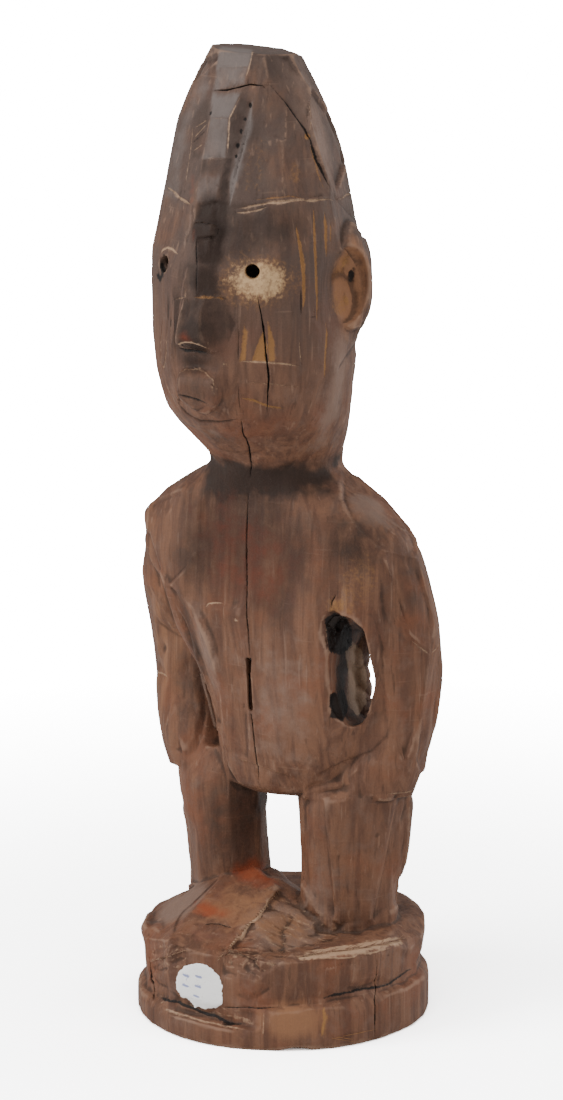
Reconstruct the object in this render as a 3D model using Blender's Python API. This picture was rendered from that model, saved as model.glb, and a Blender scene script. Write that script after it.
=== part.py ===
"""A carved wooden twin figure that stands on a round base of two steps, all cut from one log.

The figure faces -Y, its left side is +X, and the origin is on the underside at the base's centre.
Run it with: blender --background --python part.py
"""

import math
from collections import namedtuple

import bmesh
import bpy
from mathutils import Matrix, Vector

# Driving dimensions, in metres. The figure's height runs from the top of the base to the crown.
FIGURE_HEIGHT = 0.2522
BASE_DIAMETER = 0.0845
LOWER_STEP_HEIGHT = 0.0108
STEP_NOTCH_HEIGHT = 0.0034
UPPER_STEP_HEIGHT = 0.0136
STEP_NOTCH_DEPTH = 0.0028
STEP_NOTCH_RISE = 0.0045
BASE_EDGE_CHAMFER = 0.0016
SPLIT_LEDGE_HEIGHT = 0.0076
SPLIT_LEDGE_FALL = 0.0018
SPLIT_LEDGE_DEPTH = 0.0006
RIM_CHIP_HEIGHT = 0.0018
RIM_CHIP_DEPTH = 0.0060
EYE_BORE = 0.0044
EYE_BORE_DEPTH = 0.0080
CHEST_SLOT_WIDTH = 0.0016
CHEST_SLOT_LENGTH = 0.0165
CHEST_SLOT_DEPTH = 0.0080

BASE_RADIUS = BASE_DIAMETER / 2
BASE_HEIGHT = LOWER_STEP_HEIGHT + STEP_NOTCH_HEIGHT + UPPER_STEP_HEIGHT

# The carving is laid out on a grid. Its heights count from the underside, and the feet and the crown are
# at these two, so the carving always stands on the base.
FEET_LEVEL = 27.8
CROWN_LEVEL = 280.0
GRID = FIGURE_HEIGHT / (CROWN_LEVEL - FEET_LEVEL)

# Corners of one horizontal section, and the half angle of the flat that runs down the front of the head.
SECTION_CORNERS = 28
BASE_CORNERS = 34
GAP_CORNERS = 20
BORE_CORNERS = 16
EAR_CORNERS = (20, 12)
FRONT_FLAT = math.radians(9.5)

# How far apart the sections of the body and of the limbs are laid, on the grid.
BODY_SPACING = 4.5
LIMB_SPACING = 5.0

# How a hand with an adze strays from the plan: in direction, in degrees, in level, on the grid, and in
# depth, as a share.
STRAY_DIRECTION = 2.0
STRAY_LEVEL = 1.5
STRAY_DEPTH = 0.25

# How the base is out of round: waves in one turn, their place and their share of the radius.
BASE_WAVES = ((3, 0.7, 0.006), (7, 0.0, 0.004))

WOOD = (0.115, 0.052, 0.030, 1.0)
WOOD_ROUGHNESS = 0.62
SHARP_EDGE = math.radians(24)

# Points closer than this, in metres, become one.
SLIVER = 0.00001

# A horizontal section: height, centre, half widths to the side, the front and the back, how square its
# corners are (2 is an ellipse), and how far it is turned about the upright, in degrees.
Section = namedtuple("Section", "z x y side front back square turn", defaults=(2.0, 0.0))

HEAD = (
    Section(146, 0, -3.2, 17.0, 12.6, 16.8),
    Section(156, 0, -3.2, 19.0, 15.8, 18.4),
    Section(161, 0, -3.4, 19.2, 17.2, 19.0),
    Section(166, 0, -4.8, 19.8, 19.2, 19.6),
    Section(171, 0, -7.1, 22.2, 22.6, 21.8),
    Section(175.5, 0, -9.7, 24.2, 25.2, 23.4),
    Section(180, 0, -11.9, 26.0, 27.0, 25.4),
    Section(185, 0, -13.3, 26.7, 27.7, 26.6),
    Section(192, 0, -14.2, 28.0, 28.4, 28.6),
    Section(202, 0, -14.8, 28.8, 28.8, 29.8),
    Section(216, 0, -15.0, 28.9, 28.8, 29.0),
    Section(226, 0, -15.0, 29.2, 27.6, 29.0),
    Section(238, 0, -15.0, 27.0, 24.9, 27.9),
    Section(251, 0, -15.0, 24.9, 20.3, 23.7),
    Section(264.5, 0, -15.0, 20.6, 16.4, 16.6),
    Section(273, 0, -15.0, 16.4, 14.0, 14.0),
    Section(284, 0, -15.0, 10.4, 10.4, 10.4),
)

TRUNK = (
    Section(65.5, 0.0, 3.0, 13.0, 12.0, 12.0, 2.2),
    Section(68, 1.0, 3.0, 19.0, 16.0, 15.5, 2.3),
    Section(72.5, 3.0, 3.0, 22.5, 17.8, 17.0, 2.4),
    Section(80, 5.5, 2.0, 25.0, 18.5, 17.0, 2.5),
    Section(91, 6.5, 1.0, 28.0, 19.0, 16.5, 2.5),
    Section(101, 5.5, 0.5, 31.5, 19.6, 16.5, 2.5),
    Section(110, 3.6, 0.0, 35.0, 20.0, 17.0, 2.6),
    Section(121, 1.2, -0.5, 39.5, 20.0, 17.5, 2.6),
    Section(130, -0.6, -1.0, 42.6, 19.4, 17.6, 2.5),
    Section(139, -1.4, -1.0, 44.8, 19.0, 17.2, 2.4),
    Section(144.5, -1.4, -1.0, 42.6, 18.8, 16.8, 2.3),
    Section(150.5, -0.8, -1.5, 37.0, 18.2, 16.8, 2.2),
    Section(156, -0.4, -2.4, 27.4, 17.2, 16.8, 2.1),
    Section(162, 0.0, -3.0, 16.8, 16.4, 16.4, 2.0),
)

# The left limbs; the right ones are their mirror images.
ARM = (
    Section(67.5, 29.4, 2.4, 11.4, 9.4, 9.4, 2.2, 34),
    Section(74, 30.4, 2.6, 12.2, 10.2, 10.2, 2.2, 34),
    Section(82, 32.4, 4.2, 12.4, 10.8, 10.8, 2.2, 32),
    Section(91, 34.0, 5.8, 12.2, 10.8, 10.8, 2.2, 30),
    Section(101, 34.8, 6.6, 12.0, 11.2, 11.2, 2.2, 28),
    Section(110, 35.2, 5.6, 12.2, 11.6, 11.6, 2.2, 26),
    Section(120, 34.8, 2.6, 12.6, 12.2, 12.2, 2.2, 22),
    Section(130, 33.4, 0.4, 12.6, 12.4, 12.4, 2.2, 15),
    Section(139, 30.4, 0.0, 12.6, 12.4, 12.4, 2.2, 10),
    Section(145, 27.0, -0.6, 12.0, 12.0, 12.0, 2.2, 0),
    Section(149, 24.0, -1.0, 9.0, 10.0, 10.0, 2.2, 0),
)

LEG = (
    Section(22, 20.0, 4.0, 14.0, 11.6, 11.6, 2.1, 38),
    Section(37, 20.4, 3.9, 14.4, 11.6, 11.6, 2.1, 38),
    Section(46, 21.4, 3.9, 15.6, 11.8, 11.8, 2.1, 38),
    Section(60, 22.4, 3.2, 16.4, 12.4, 12.4, 2.1, 38),
    Section(68, 22.4, 3.4, 16.6, 12.8, 12.8, 2.1, 38),
    Section(76, 19.0, 4.0, 13.0, 11.0, 11.0, 2.1, 38),
)

# The mound of wood in front of the right leg. Its corners lie at shares of the base's radius, and their
# heights are on the grid. The lowest ones lie in the base.
MOUND = (
    (-0.31, -0.19, 40.0),
    (-0.10, -0.21, 39.6),
    (0.04, -0.07, 38.6),
    (-0.17, 0.19, 37.0),
    (-0.38, -0.85, 25.0),
    (0.05, -0.90, 26.0),
    (0.33, -0.78, 27.0),
    (0.54, -0.38, 26.6),
    (0.38, 0.14, 26.6),
    (-0.85, -0.40, 23.6),
    (-0.87, -0.14, 24.2),
    (-0.70, 0.14, 26.2),
    (-0.38, -0.80, 21.0),
    (0.28, -0.75, 21.0),
    (0.52, -0.24, 21.0),
    (0.24, 0.24, 21.0),
    (-0.61, 0.19, 21.0),
    (-0.80, -0.33, 21.0),
)

# The corners of one half of the nose and of the mouth block.
NOSE = (
    (2.8, -41.4, 235.0),
    (3.4, -44.2, 217.0),
    (4.4, -48.0, 203.4),
    (5.4, -47.0, 201.0),
    (6.4, -43.4, 200.4),
    (7.2, -38.0, 200.6),
    (5.2, -38.0, 230.0),
    (4.6, -42.5, 198.8),
)

MOUTH = (
    (6.2, -43.8, 193.4),
    (6.7, -45.8, 191.2),
    (6.7, -45.0, 186.6),
    (5.0, -43.2, 183.2),
    (1.6, -42.4, 181.2),
    (6.9, -34.0, 193.4),
    (6.6, -32.0, 184.5),
    (3.0, -30.0, 181.0),
)

EAR_CENTRE = (26.9, -9.8, 215.5)
EAR_SIZE = (6.2, 9.6, 17.4)
EAR_HOLLOW_CENTRE = (31.2, -16.6, 215.5)
EAR_HOLLOW_SIZE = (5.2, 9.4, 11.4)

# Where the eyes are bored: their direction from the front, in degrees, and their level.
EYE_DIRECTION = 30.5
EYE_LEVEL = 221.2
BORE_TAPER = 0.84

CHEST_SLOT_CENTRE = (-0.2, -18.4, 99.6)

# The hole between the left arm and the body: its centre and half sizes where it enters and leaves.
ARM_GAP_FRONT = (33.0, -24.0, 109.2)
ARM_GAP_FRONT_SIZE = (6.0, 16.4)
ARM_GAP_BACK = (20.6, 24.0, 96.0)
ARM_GAP_BACK_SIZE = (5.0, 14.0)

# Flat adze cuts down the coiffure: their directions from the front in degrees, the heights where each
# direction is cut again, and how deep the flats go into the round form.
COIFFURE_DIRECTIONS = (0, 23, 58, 100, 141, 180, -141, -103, -62, -27)
COIFFURE_LEVELS = (275, 265, 252, 238, 222)
COIFFURE_DEPTH = 0.75
FACE_DIRECTIONS = (31, -34, 76, -78)
FACE_LEVELS = (208, 190)
FACE_DEPTH = 0.6

# The crown is cut off in one slanting cut, lower to the figure's left.
CROWN_POINT = (0.0, -15.0, 278.9)
CROWN_NORMAL = (0.055, 0.03, 1.0)

# Flat cuts on the body: a point on the grid and the direction that the flat faces.
BODY_CUTS = (
    ((-30.0, -14.6, 112.0), (-0.62, -0.78, -0.16)),
    ((-21.5, -12.0, 92.0), (-0.80, -0.56, -0.30)),
    ((0.0, -19.2, 126.0), (0.0, -1.0, 0.06)),
    ((1.0, -17.6, 90.0), (0.0, -1.0, -0.09)),
    ((0.0, -15.2, 73.0), (0.0, -0.90, -0.43)),
    ((37.2, 0.0, 148.0), (0.65, 0.03, 0.76)),
    ((-37.2, 0.0, 147.6), (-0.62, 0.03, 0.78)),
    ((0.0, 16.2, 124.0), (0.0, 1.0, 0.04)),
    ((0.0, 17.6, 88.0), (0.0, 1.0, -0.03)),
)

# Flat cuts that lower the top of the base, on its right and behind the left leg: the direction from the
# front, in degrees, the share of the base's height that is gone at the rim, and the slope in degrees.
BASE_CUTS = (
    (-84, 0.145, 18),
    (101, 0.185, 38),
)

# Where the front of the base has split away above a ledge, and where its lower rim is chipped, as angles
# from the front in degrees, left being positive.
SPLIT_FACES = ((-50, -18), (-22, 25))
RIM_CHIP = (24, 50)
RIM_CHIP_REACH = 1.3


def clear_scene():
    """Removes every object of the open file."""
    for item in list(bpy.data.objects):
        bpy.data.objects.remove(item, do_unlink=True)


def on_grid(point):
    """The place in metres of a point of the carving's grid."""
    across, ahead, level = point
    return Vector((across * GRID, ahead * GRID, BASE_HEIGHT + (level - FEET_LEVEL) * GRID))


def mirrored(point):
    """The same point on the figure's other side."""
    return (-point[0], point[1], point[2])


def new_object(name, mesh_data):
    """Puts a closed bmesh into the scene as an object with its faces pointing out."""
    bmesh.ops.recalc_face_normals(mesh_data, faces=mesh_data.faces)
    mesh = bpy.data.meshes.new(name)
    mesh_data.to_mesh(mesh)
    mesh_data.free()
    item = bpy.data.objects.new(name, mesh)
    bpy.context.collection.objects.link(item)
    return item


def bridge_rings(data, rings):
    """Joins rings of corners into a closed skin, with a flat end below and above."""
    for lower, upper in zip(rings, rings[1:]):
        for index, corner in enumerate(lower):
            following = (index + 1) % len(lower)
            data.faces.new((corner, lower[following], upper[following], upper[index]))
    data.faces.new(rings[0])
    data.faces.new(rings[-1])


def hull(name, points):
    """The convex solid round a set of points in metres."""
    data = bmesh.new()
    for point in points:
        data.verts.new(point)
    made = bmesh.ops.convex_hull(data, input=data.verts)
    spare = [item for item in made["geom_interior"] if isinstance(item, bmesh.types.BMVert)]
    bmesh.ops.delete(data, geom=spare, context="VERTS")
    return new_object(name, data)


def combine(target, tool, operation):
    """Joins a tool to the target, or cuts it away, and removes the tool."""
    step = target.modifiers.new(operation.title(), "BOOLEAN")
    step.operation = operation
    step.solver = "EXACT"
    step.object = tool
    depsgraph = bpy.context.evaluated_depsgraph_get()
    result = bpy.data.meshes.new_from_object(target.evaluated_get(depsgraph))
    target.modifiers.clear()
    target.data = result
    bpy.data.objects.remove(tool, do_unlink=True)


def pare(item, point, normal):
    """Cuts an object off flat at a plane given in metres, and closes the cut."""
    data = bmesh.new()
    data.from_mesh(item.data)
    cut = bmesh.ops.bisect_plane(
        data,
        geom=data.verts[:] + data.edges[:] + data.faces[:],
        plane_co=point,
        plane_no=Vector(normal).normalized(),
        dist=0.00002,
        clear_outer=True,
    )
    rim = [edge for edge in cut["geom_cut"] if isinstance(edge, bmesh.types.BMEdge)]
    if rim:
        bmesh.ops.holes_fill(data, edges=rim)
    bmesh.ops.recalc_face_normals(data, faces=data.faces)
    data.to_mesh(item.data)
    data.free()


def signed_power(value, power):
    """A power that keeps the sign of its base."""
    return math.copysign(abs(value) ** power, value)


def corner_angles():
    """The angles of a section's corners from the front, with one flat centred on the front."""
    step = (2 * math.pi - 2 * FRONT_FLAT) / (SECTION_CORNERS - 1)
    return [FRONT_FLAT + step * index for index in range(SECTION_CORNERS)]


def section_ring(section):
    """The corners of one horizontal section, on the grid."""
    ring = []
    power = 2.0 / section.square
    turn = Matrix.Rotation(math.radians(section.turn), 2)
    for angle in corner_angles():
        across = section.side * signed_power(math.sin(angle), power)
        ahead = signed_power(math.cos(angle), power)
        ahead *= section.front if ahead > 0 else section.back
        offset = turn @ Vector((across, -ahead))
        ring.append((section.x + offset.x, section.y + offset.y, section.z))
    return ring


def eased(before, start, end, after, share):
    """Reads a smooth curve between two values, which also heeds the values on either side."""
    return 0.5 * (
        2 * start
        + (end - before) * share
        + (2 * before - 5 * start + 4 * end - after) * share**2
        + (3 * start - before - 3 * end + after) * share**3
    )


def section_between(sections, index, share):
    """The section at a share of the way from one given section to the next, on a smooth curve."""
    last = len(sections) - 1
    before = sections[max(index - 1, 0)]
    start = sections[index]
    end = sections[index + 1]
    after = sections[min(index + 2, last)]
    between = Section(*(eased(*values, share) for values in zip(before, start, end, after)))
    return between._replace(z=start.z + (end.z - start.z) * share)


def smooth_sections(sections, spacing):
    """Adds sections in between, on smooth curves through the given ones."""
    result = []
    for index in range(len(sections) - 1):
        count = max(1, round((sections[index + 1].z - sections[index].z) / spacing))
        for step in range(count):
            result.append(section_between(sections, index, step / count))
    result.append(sections[-1])
    return result


def loft(name, sections, spacing, mirror=False):
    """A closed solid through horizontal sections."""
    data = bmesh.new()
    rings = []
    for section in smooth_sections(sections, spacing):
        points = section_ring(section)
        if mirror:
            points = [mirrored(point) for point in points]
        rings.append([data.verts.new(on_grid(point)) for point in points])
    bridge_rings(data, rings)
    return new_object(name, data)


def loft_point(sections, angle, level):
    """The point of a lofted form at an angle from the front and a level, on the grid."""
    below = sum(section.z <= level for section in sections) - 1
    index = max(0, min(len(sections) - 2, below))
    start, end = sections[index], sections[index + 1]
    here = section_between(sections, index, (level - start.z) / (end.z - start.z))
    ahead = math.cos(angle) * (here.front if math.cos(angle) > 0 else here.back)
    return Vector((here.x + here.side * math.sin(angle), here.y - ahead, level))


def loft_normal(sections, angle, level):
    """The direction that a lofted form faces at an angle from the front and a level."""
    beside, above = 0.02, 0.5
    around = loft_point(sections, angle + beside, level) - loft_point(sections, angle - beside, level)
    upward = loft_point(sections, angle, level + above) - loft_point(sections, angle, level - above)
    return around.cross(upward).normalized()


def pare_round(item, sections, directions, levels, depth):
    """Cuts flats into a lofted form at each direction from the front and each level."""
    for row, level in enumerate(levels):
        for column, direction in enumerate(directions):
            stray = math.sin(2.3 * row + 1.7 * column)
            angle = math.radians(direction + STRAY_DIRECTION * stray)
            height = level + STRAY_LEVEL * stray
            normal = loft_normal(sections, angle, height)
            point = loft_point(sections, angle, height) - normal * depth * (1.0 + STRAY_DEPTH * stray)
            pare(item, on_grid(point), normal)


def both_sides(points):
    """The points of one half of the figure and their mirror images, in metres."""
    return [on_grid(point) for point in points] + [on_grid(mirrored(point)) for point in points]


def ellipsoid(name, centre, size):
    """A round lump at a place on the grid, with its half sizes along X, Y and Z on the grid."""
    data = bmesh.new()
    around, upward = EAR_CORNERS
    bmesh.ops.create_uvsphere(data, u_segments=around, v_segments=upward, radius=1.0)
    place = Matrix.Translation(on_grid(centre)) @ Matrix.Diagonal((*(Vector(size) * GRID), 1.0))
    bmesh.ops.transform(data, matrix=place, verts=data.verts)
    return new_object(name, data)


def bore(name, start, direction, diameter, depth):
    """A round cutter that enters at a point in metres, runs along a direction and narrows a little."""
    data = bmesh.new()
    wide = diameter / 2
    narrow = wide * BORE_TAPER
    bmesh.ops.create_cone(
        data,
        cap_ends=True,
        segments=BORE_CORNERS,
        radius1=wide + (wide - narrow),
        radius2=narrow,
        depth=2 * depth,
    )
    turn = Vector(direction).to_track_quat("Z", "Y").to_matrix().to_4x4()
    bmesh.ops.transform(data, matrix=Matrix.Translation(start) @ turn, verts=data.verts)
    return new_object(name, data)


def block(name, centre, size):
    """A box of a full size in metres, centred on a point in metres."""
    data = bmesh.new()
    bmesh.ops.create_cube(data, size=1.0)
    place = Matrix.Translation(centre) @ Matrix.Diagonal((*size, 1.0))
    bmesh.ops.transform(data, matrix=place, verts=data.verts)
    return new_object(name, data)


def rim_point(angle, radius, height):
    """A point on the base's rim, at an angle in degrees from the front."""
    turn = math.radians(angle)
    return Vector((radius * math.sin(turn), -radius * math.cos(turn), height))


def base_radius(radius, angle):
    """The radius at an angle of a round base that was cut by hand."""
    return radius * (1 + sum(share * math.sin(waves * angle + place) for waves, place, share in BASE_WAVES))


def make_base():
    """The round base: two steps with a notch cut between them, which rises to the figure's left."""
    low = LOWER_STEP_HEIGHT
    high = LOWER_STEP_HEIGHT + STEP_NOTCH_HEIGHT
    rise = STEP_NOTCH_RISE / 2
    notch = BASE_RADIUS - STEP_NOTCH_DEPTH
    profile = (
        (BASE_RADIUS - BASE_EDGE_CHAMFER / 3, 0.0, 0.0),
        (BASE_RADIUS, BASE_EDGE_CHAMFER / 2, 0.0),
        (BASE_RADIUS, low - BASE_EDGE_CHAMFER / 2, rise),
        (notch, (low + high) / 2, rise),
        (notch + STEP_NOTCH_DEPTH / 5, high, rise),
        (BASE_RADIUS - BASE_EDGE_CHAMFER / 2, BASE_HEIGHT - BASE_EDGE_CHAMFER, 0.0),
        (BASE_RADIUS - 2 * BASE_EDGE_CHAMFER, BASE_HEIGHT, 0.0),
    )
    data = bmesh.new()
    rings = []
    for radius, height, lift in profile:
        ring = []
        for index in range(BASE_CORNERS):
            angle = 2 * math.pi * (index + 0.5) / BASE_CORNERS
            across = base_radius(radius, angle) * math.cos(angle)
            ahead = base_radius(radius, angle) * math.sin(angle)
            ring.append(data.verts.new((across, ahead, height + lift * across / BASE_RADIUS)))
        rings.append(ring)
    bridge_rings(data, rings)
    return new_object("base", data)


def split_cutter(angles, bottoms):
    """A cutter that stands on a chord of the rim, from the split's face outwards and upwards."""
    corners = []
    for angle, bottom in zip(angles, bottoms):
        for radius in (BASE_RADIUS - SPLIT_LEDGE_DEPTH, BASE_DIAMETER):
            corners.append(rim_point(angle, radius, bottom))
            corners.append(rim_point(angle, radius, 2 * BASE_HEIGHT))
    return hull("split", corners)


def chip_cutter():
    """A cutter for the chip that is broken out of the lower rim."""
    outside = RIM_CHIP_REACH * BASE_RADIUS
    middle = sum(RIM_CHIP) / 2
    corners = [
        rim_point(middle, BASE_RADIUS - RIM_CHIP_DEPTH, 0.0),
        rim_point(middle, outside, 2 * RIM_CHIP_HEIGHT),
        rim_point(middle, BASE_RADIUS, -RIM_CHIP_HEIGHT),
    ]
    for angle in RIM_CHIP:
        corners.append(rim_point(angle, BASE_RADIUS, -RIM_CHIP_HEIGHT))
        corners.append(rim_point(angle, outside, RIM_CHIP_HEIGHT))
    return hull("rim chip", corners)


def cut_base(base):
    """Splits the front of the base away above a ledge, chips its lower rim and lowers its top."""
    fall = SPLIT_LEDGE_FALL / len(SPLIT_FACES)
    for index, angles in enumerate(SPLIT_FACES):
        start = SPLIT_LEDGE_HEIGHT - fall * index
        combine(base, split_cutter(angles, (start, start - fall)), "DIFFERENCE")
    combine(base, chip_cutter(), "DIFFERENCE")
    for direction, share, slope in BASE_CUTS:
        outward = rim_point(direction, math.sin(math.radians(slope)), math.cos(math.radians(slope)))
        pare(base, rim_point(direction, BASE_RADIUS, BASE_HEIGHT * (1 - share)), outward)


def make_trunk():
    """The body between the legs and the neck, with its flat cuts."""
    trunk = loft("ibeji_figure", TRUNK, BODY_SPACING)
    for point, normal in BODY_CUTS:
        pare(trunk, on_grid(point), normal)
    return trunk


def make_head():
    """The neck, the head and the tall coiffure, with its flat cuts."""
    head = loft("head", HEAD, BODY_SPACING)
    pare_round(head, HEAD, COIFFURE_DIRECTIONS, COIFFURE_LEVELS, COIFFURE_DEPTH)
    pare_round(head, HEAD, FACE_DIRECTIONS, FACE_LEVELS, FACE_DEPTH)
    pare(head, on_grid(CROWN_POINT), CROWN_NORMAL)
    return head


def make_mound():
    """The mound of wood that was left on the base in front of the right leg."""
    corners = []
    for across, ahead, level in MOUND:
        corner = on_grid((0, 0, level))
        corner.x = across * BASE_RADIUS
        corner.y = ahead * BASE_RADIUS
        corners.append(corner)
    return hull("mound", corners)


def make_figure():
    """The whole figure as one solid, before its holes are cut."""
    figure = make_trunk()
    base = make_base()
    cut_base(base)
    parts = [base, make_head(), make_mound()]
    parts.append(hull("nose", both_sides(NOSE)))
    parts.append(hull("mouth", both_sides(MOUTH)))
    for mirror in (False, True):
        parts.append(loft("arm", ARM, LIMB_SPACING, mirror))
        parts.append(loft("leg", LEG, LIMB_SPACING, mirror))
        parts.append(ellipsoid("ear", mirrored(EAR_CENTRE) if mirror else EAR_CENTRE, EAR_SIZE))
    for part in parts:
        combine(figure, part, "UNION")
    return figure


def eye_bore(side):
    """The bore of one eye, square to the face; the side is 1 for the left and -1 for the right."""
    angle = side * math.radians(EYE_DIRECTION)
    inward = -loft_normal(HEAD, angle, EYE_LEVEL)
    inward.z = 0.0
    start = on_grid(loft_point(HEAD, angle, EYE_LEVEL))
    return bore("eye", start, inward, EYE_BORE, EYE_BORE_DEPTH)


def arm_gap():
    """The long hole dug between the left arm and the body, from front to back."""
    corners = []
    ends = ((ARM_GAP_FRONT, ARM_GAP_FRONT_SIZE), (ARM_GAP_BACK, ARM_GAP_BACK_SIZE))
    for centre, size in ends:
        for index in range(GAP_CORNERS):
            angle = 2 * math.pi * index / GAP_CORNERS
            offset = Vector((size[0] * math.cos(angle), 0.0, size[1] * math.sin(angle)))
            corners.append(on_grid(Vector(centre) + offset))
    return hull("arm gap", corners)


def cut_figure(figure):
    """Bores the eyes, hollows the ears, cuts the chest's slot and digs the hole beside the left arm."""
    for side in (1, -1):
        hollow = EAR_HOLLOW_CENTRE if side == 1 else mirrored(EAR_HOLLOW_CENTRE)
        combine(figure, ellipsoid("ear hollow", hollow, EAR_HOLLOW_SIZE), "DIFFERENCE")
        combine(figure, eye_bore(side), "DIFFERENCE")
    slot = Vector((CHEST_SLOT_WIDTH, 2 * CHEST_SLOT_DEPTH, CHEST_SLOT_LENGTH))
    combine(figure, block("chest slot", on_grid(CHEST_SLOT_CENTRE), slot), "DIFFERENCE")
    combine(figure, arm_gap(), "DIFFERENCE")


def clean(figure):
    """Makes the figure one skin of triangles, without the slivers that cuts leave."""
    data = bmesh.new()
    data.from_mesh(figure.data)
    bmesh.ops.remove_doubles(data, verts=data.verts, dist=SLIVER)
    bmesh.ops.triangulate(data, faces=data.faces)
    bmesh.ops.dissolve_degenerate(data, dist=SLIVER, edges=data.edges)
    bmesh.ops.triangulate(data, faces=data.faces)
    data.to_mesh(figure.data)
    data.free()


def dress(figure):
    """Gives the figure its wood, and shades it smooth between the cuts."""
    material = bpy.data.materials.new("carved wood")
    material.use_nodes = True
    shader = material.node_tree.nodes["Principled BSDF"]
    shader.inputs["Base Color"].default_value = WOOD
    shader.inputs["Roughness"].default_value = WOOD_ROUGHNESS
    figure.data.materials.clear()
    figure.data.materials.append(material)
    figure.data.shade_smooth()
    figure.data.set_sharp_from_angle(angle=SHARP_EDGE)


def main():
    """Builds the figure."""
    clear_scene()
    figure = make_figure()
    cut_figure(figure)
    clean(figure)
    dress(figure)


main()
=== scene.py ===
"""Dresses the carved ibeji statue as its photograph shows it.

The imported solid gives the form. Here it is copied, made even, and worked over as a carver would work it:
flats of the knife, cut lines, splits and torn edges, all in the mesh. A wood finish made of nodes then
follows values painted on the mesh's points.

A place in the lists below is either a pixel of the 563 by 1100 photograph, which is looked up on the figure
through the camera, or a point in millimetres, which is moved to the nearest surface. Lengths are in
millimetres unless a line says otherwise.
"""

import logging
import math
from dataclasses import dataclass, field
from enum import Enum

import bmesh
import bpy
import numpy as np
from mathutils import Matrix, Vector
from mathutils.bvhtree import BVHTree

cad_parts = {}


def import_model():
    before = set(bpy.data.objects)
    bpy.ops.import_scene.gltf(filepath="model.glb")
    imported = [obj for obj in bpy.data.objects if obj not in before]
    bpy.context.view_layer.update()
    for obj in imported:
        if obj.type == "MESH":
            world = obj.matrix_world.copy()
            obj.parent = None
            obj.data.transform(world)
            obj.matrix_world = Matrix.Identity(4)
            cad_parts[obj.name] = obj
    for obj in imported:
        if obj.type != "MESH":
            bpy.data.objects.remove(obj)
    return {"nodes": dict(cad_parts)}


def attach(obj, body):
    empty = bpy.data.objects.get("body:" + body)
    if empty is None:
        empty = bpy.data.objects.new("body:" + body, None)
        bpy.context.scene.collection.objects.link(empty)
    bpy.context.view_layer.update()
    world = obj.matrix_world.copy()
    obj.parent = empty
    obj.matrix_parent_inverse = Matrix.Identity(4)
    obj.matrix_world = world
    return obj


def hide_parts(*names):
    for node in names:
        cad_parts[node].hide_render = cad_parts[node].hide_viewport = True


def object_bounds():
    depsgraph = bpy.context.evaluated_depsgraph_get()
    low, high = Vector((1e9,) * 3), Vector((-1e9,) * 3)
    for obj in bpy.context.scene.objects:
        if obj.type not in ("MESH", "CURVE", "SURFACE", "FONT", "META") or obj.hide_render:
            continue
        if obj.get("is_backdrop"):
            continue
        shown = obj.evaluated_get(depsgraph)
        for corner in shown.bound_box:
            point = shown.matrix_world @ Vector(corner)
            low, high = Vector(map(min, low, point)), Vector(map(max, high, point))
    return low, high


Place = tuple[float, ...]
Route = tuple[Place, ...]

LOG = logging.getLogger("ibeji_statue")
NODE = "ibeji_figure"

MILLIMETRE = 0.001
METRE = 1000.0
UP = np.array([0.0, 0.0, 1.0])
FAR_OFF = 1e9
TINY = 1e-9

# How large the figure is in the photograph, at its axis.
PIXELS_PER_MILLIMETRE = 3.53

# Numbers that stir a cell's place into an even spread of values, and the range that they are kept to.
STIR = (374761393, 668265263, 1274126177)
STIR_SEED = 69069
STIR_RANGE = 0xFFFFFFFF
STIR_HALF = 2147483648.0

# How much weaker each finer layer of a pattern is than the one before it, and how far seeds lie apart.
FINER_LAYER = 0.55
SEED_STEP = 17.31


class Tint(Enum):
    """The values painted on the figure's points, which its finish reads by these names."""

    NONE = ""
    OCHRE = "ochre"
    CRACK_SHADE = "crack"
    PALE = "pale"
    DIRT_AND_SHADE = "dirt_and_shade"
    RED = "red"
    CHALK = "chalk"
    DAB = "dab"
    INK = "ink"
    SOOT = "soot"
    PAINTED_SHEEN = "painted_sheen"
    POLISH_AND_SHEEN = "polish_and_sheen"
    EDGE = "edge"
    HOLLOW = "hollow"
    FRESH_AND_LIT = "fresh"


class Side(Enum):
    """The lowered side of a ledge, seen from outside by someone who follows its route."""

    LEFT = 1.0
    RIGHT = -1.0


def paint(red: float, green: float, blue: float) -> tuple[float, float, float, float]:
    """Turns a given colour into the linear values that a socket takes.

    Args:
        red: Red, 0 to 255.
        green: Green, 0 to 255.
        blue: Blue, 0 to 255.

    Returns:
        Linear red, green, blue and 1.
    """
    linear = []
    for part in (red, green, blue):
        share = part / 255.0
        linear.append(share / 12.92 if share <= 0.04045 else ((share + 0.055) / 1.055) ** 2.4)
    return (linear[0], linear[1], linear[2], 1.0)


def speckle(
    points: np.ndarray, size: float | tuple[float, float, float], seed: int, octaves: int = 1
) -> np.ndarray:
    """Gives smooth random values over space, the same on every run.

    Args:
        points: Points, one row each.
        size: Width of a patch, one length or one for each axis.
        seed: Number that picks the pattern.
        octaves: How many finer layers are added, each half the size.

    Returns:
        A value from -1 to 1 for each point.
    """
    total = np.zeros(len(points))
    weight = 1.0
    whole = 0.0
    for octave in range(octaves):
        spread = points / np.asarray(size, dtype=float) * 2.0**octave + SEED_STEP * seed
        cell = np.floor(spread).astype(np.int64)
        part = spread - cell
        part = part * part * (3.0 - 2.0 * part)
        value = np.zeros(len(points))
        for corner in range(8):
            step = np.array([corner & 1, corner >> 1 & 1, corner >> 2 & 1])
            at = cell + step
            mixed = at[:, 0] * STIR[0] + at[:, 1] * STIR[1] + at[:, 2] * STIR[2] + seed * STIR_SEED
            mixed = mixed & STIR_RANGE
            mixed = (mixed ^ (mixed >> 13)) * STIR[2] & STIR_RANGE
            mixed = mixed ^ (mixed >> 16)
            share = np.prod(np.where(step == 1, part, 1.0 - part), axis=1)
            value += share * (mixed / STIR_HALF - 1.0)
        total += weight * value
        whole += weight
        weight *= FINER_LAYER
    return total / whole


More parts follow.
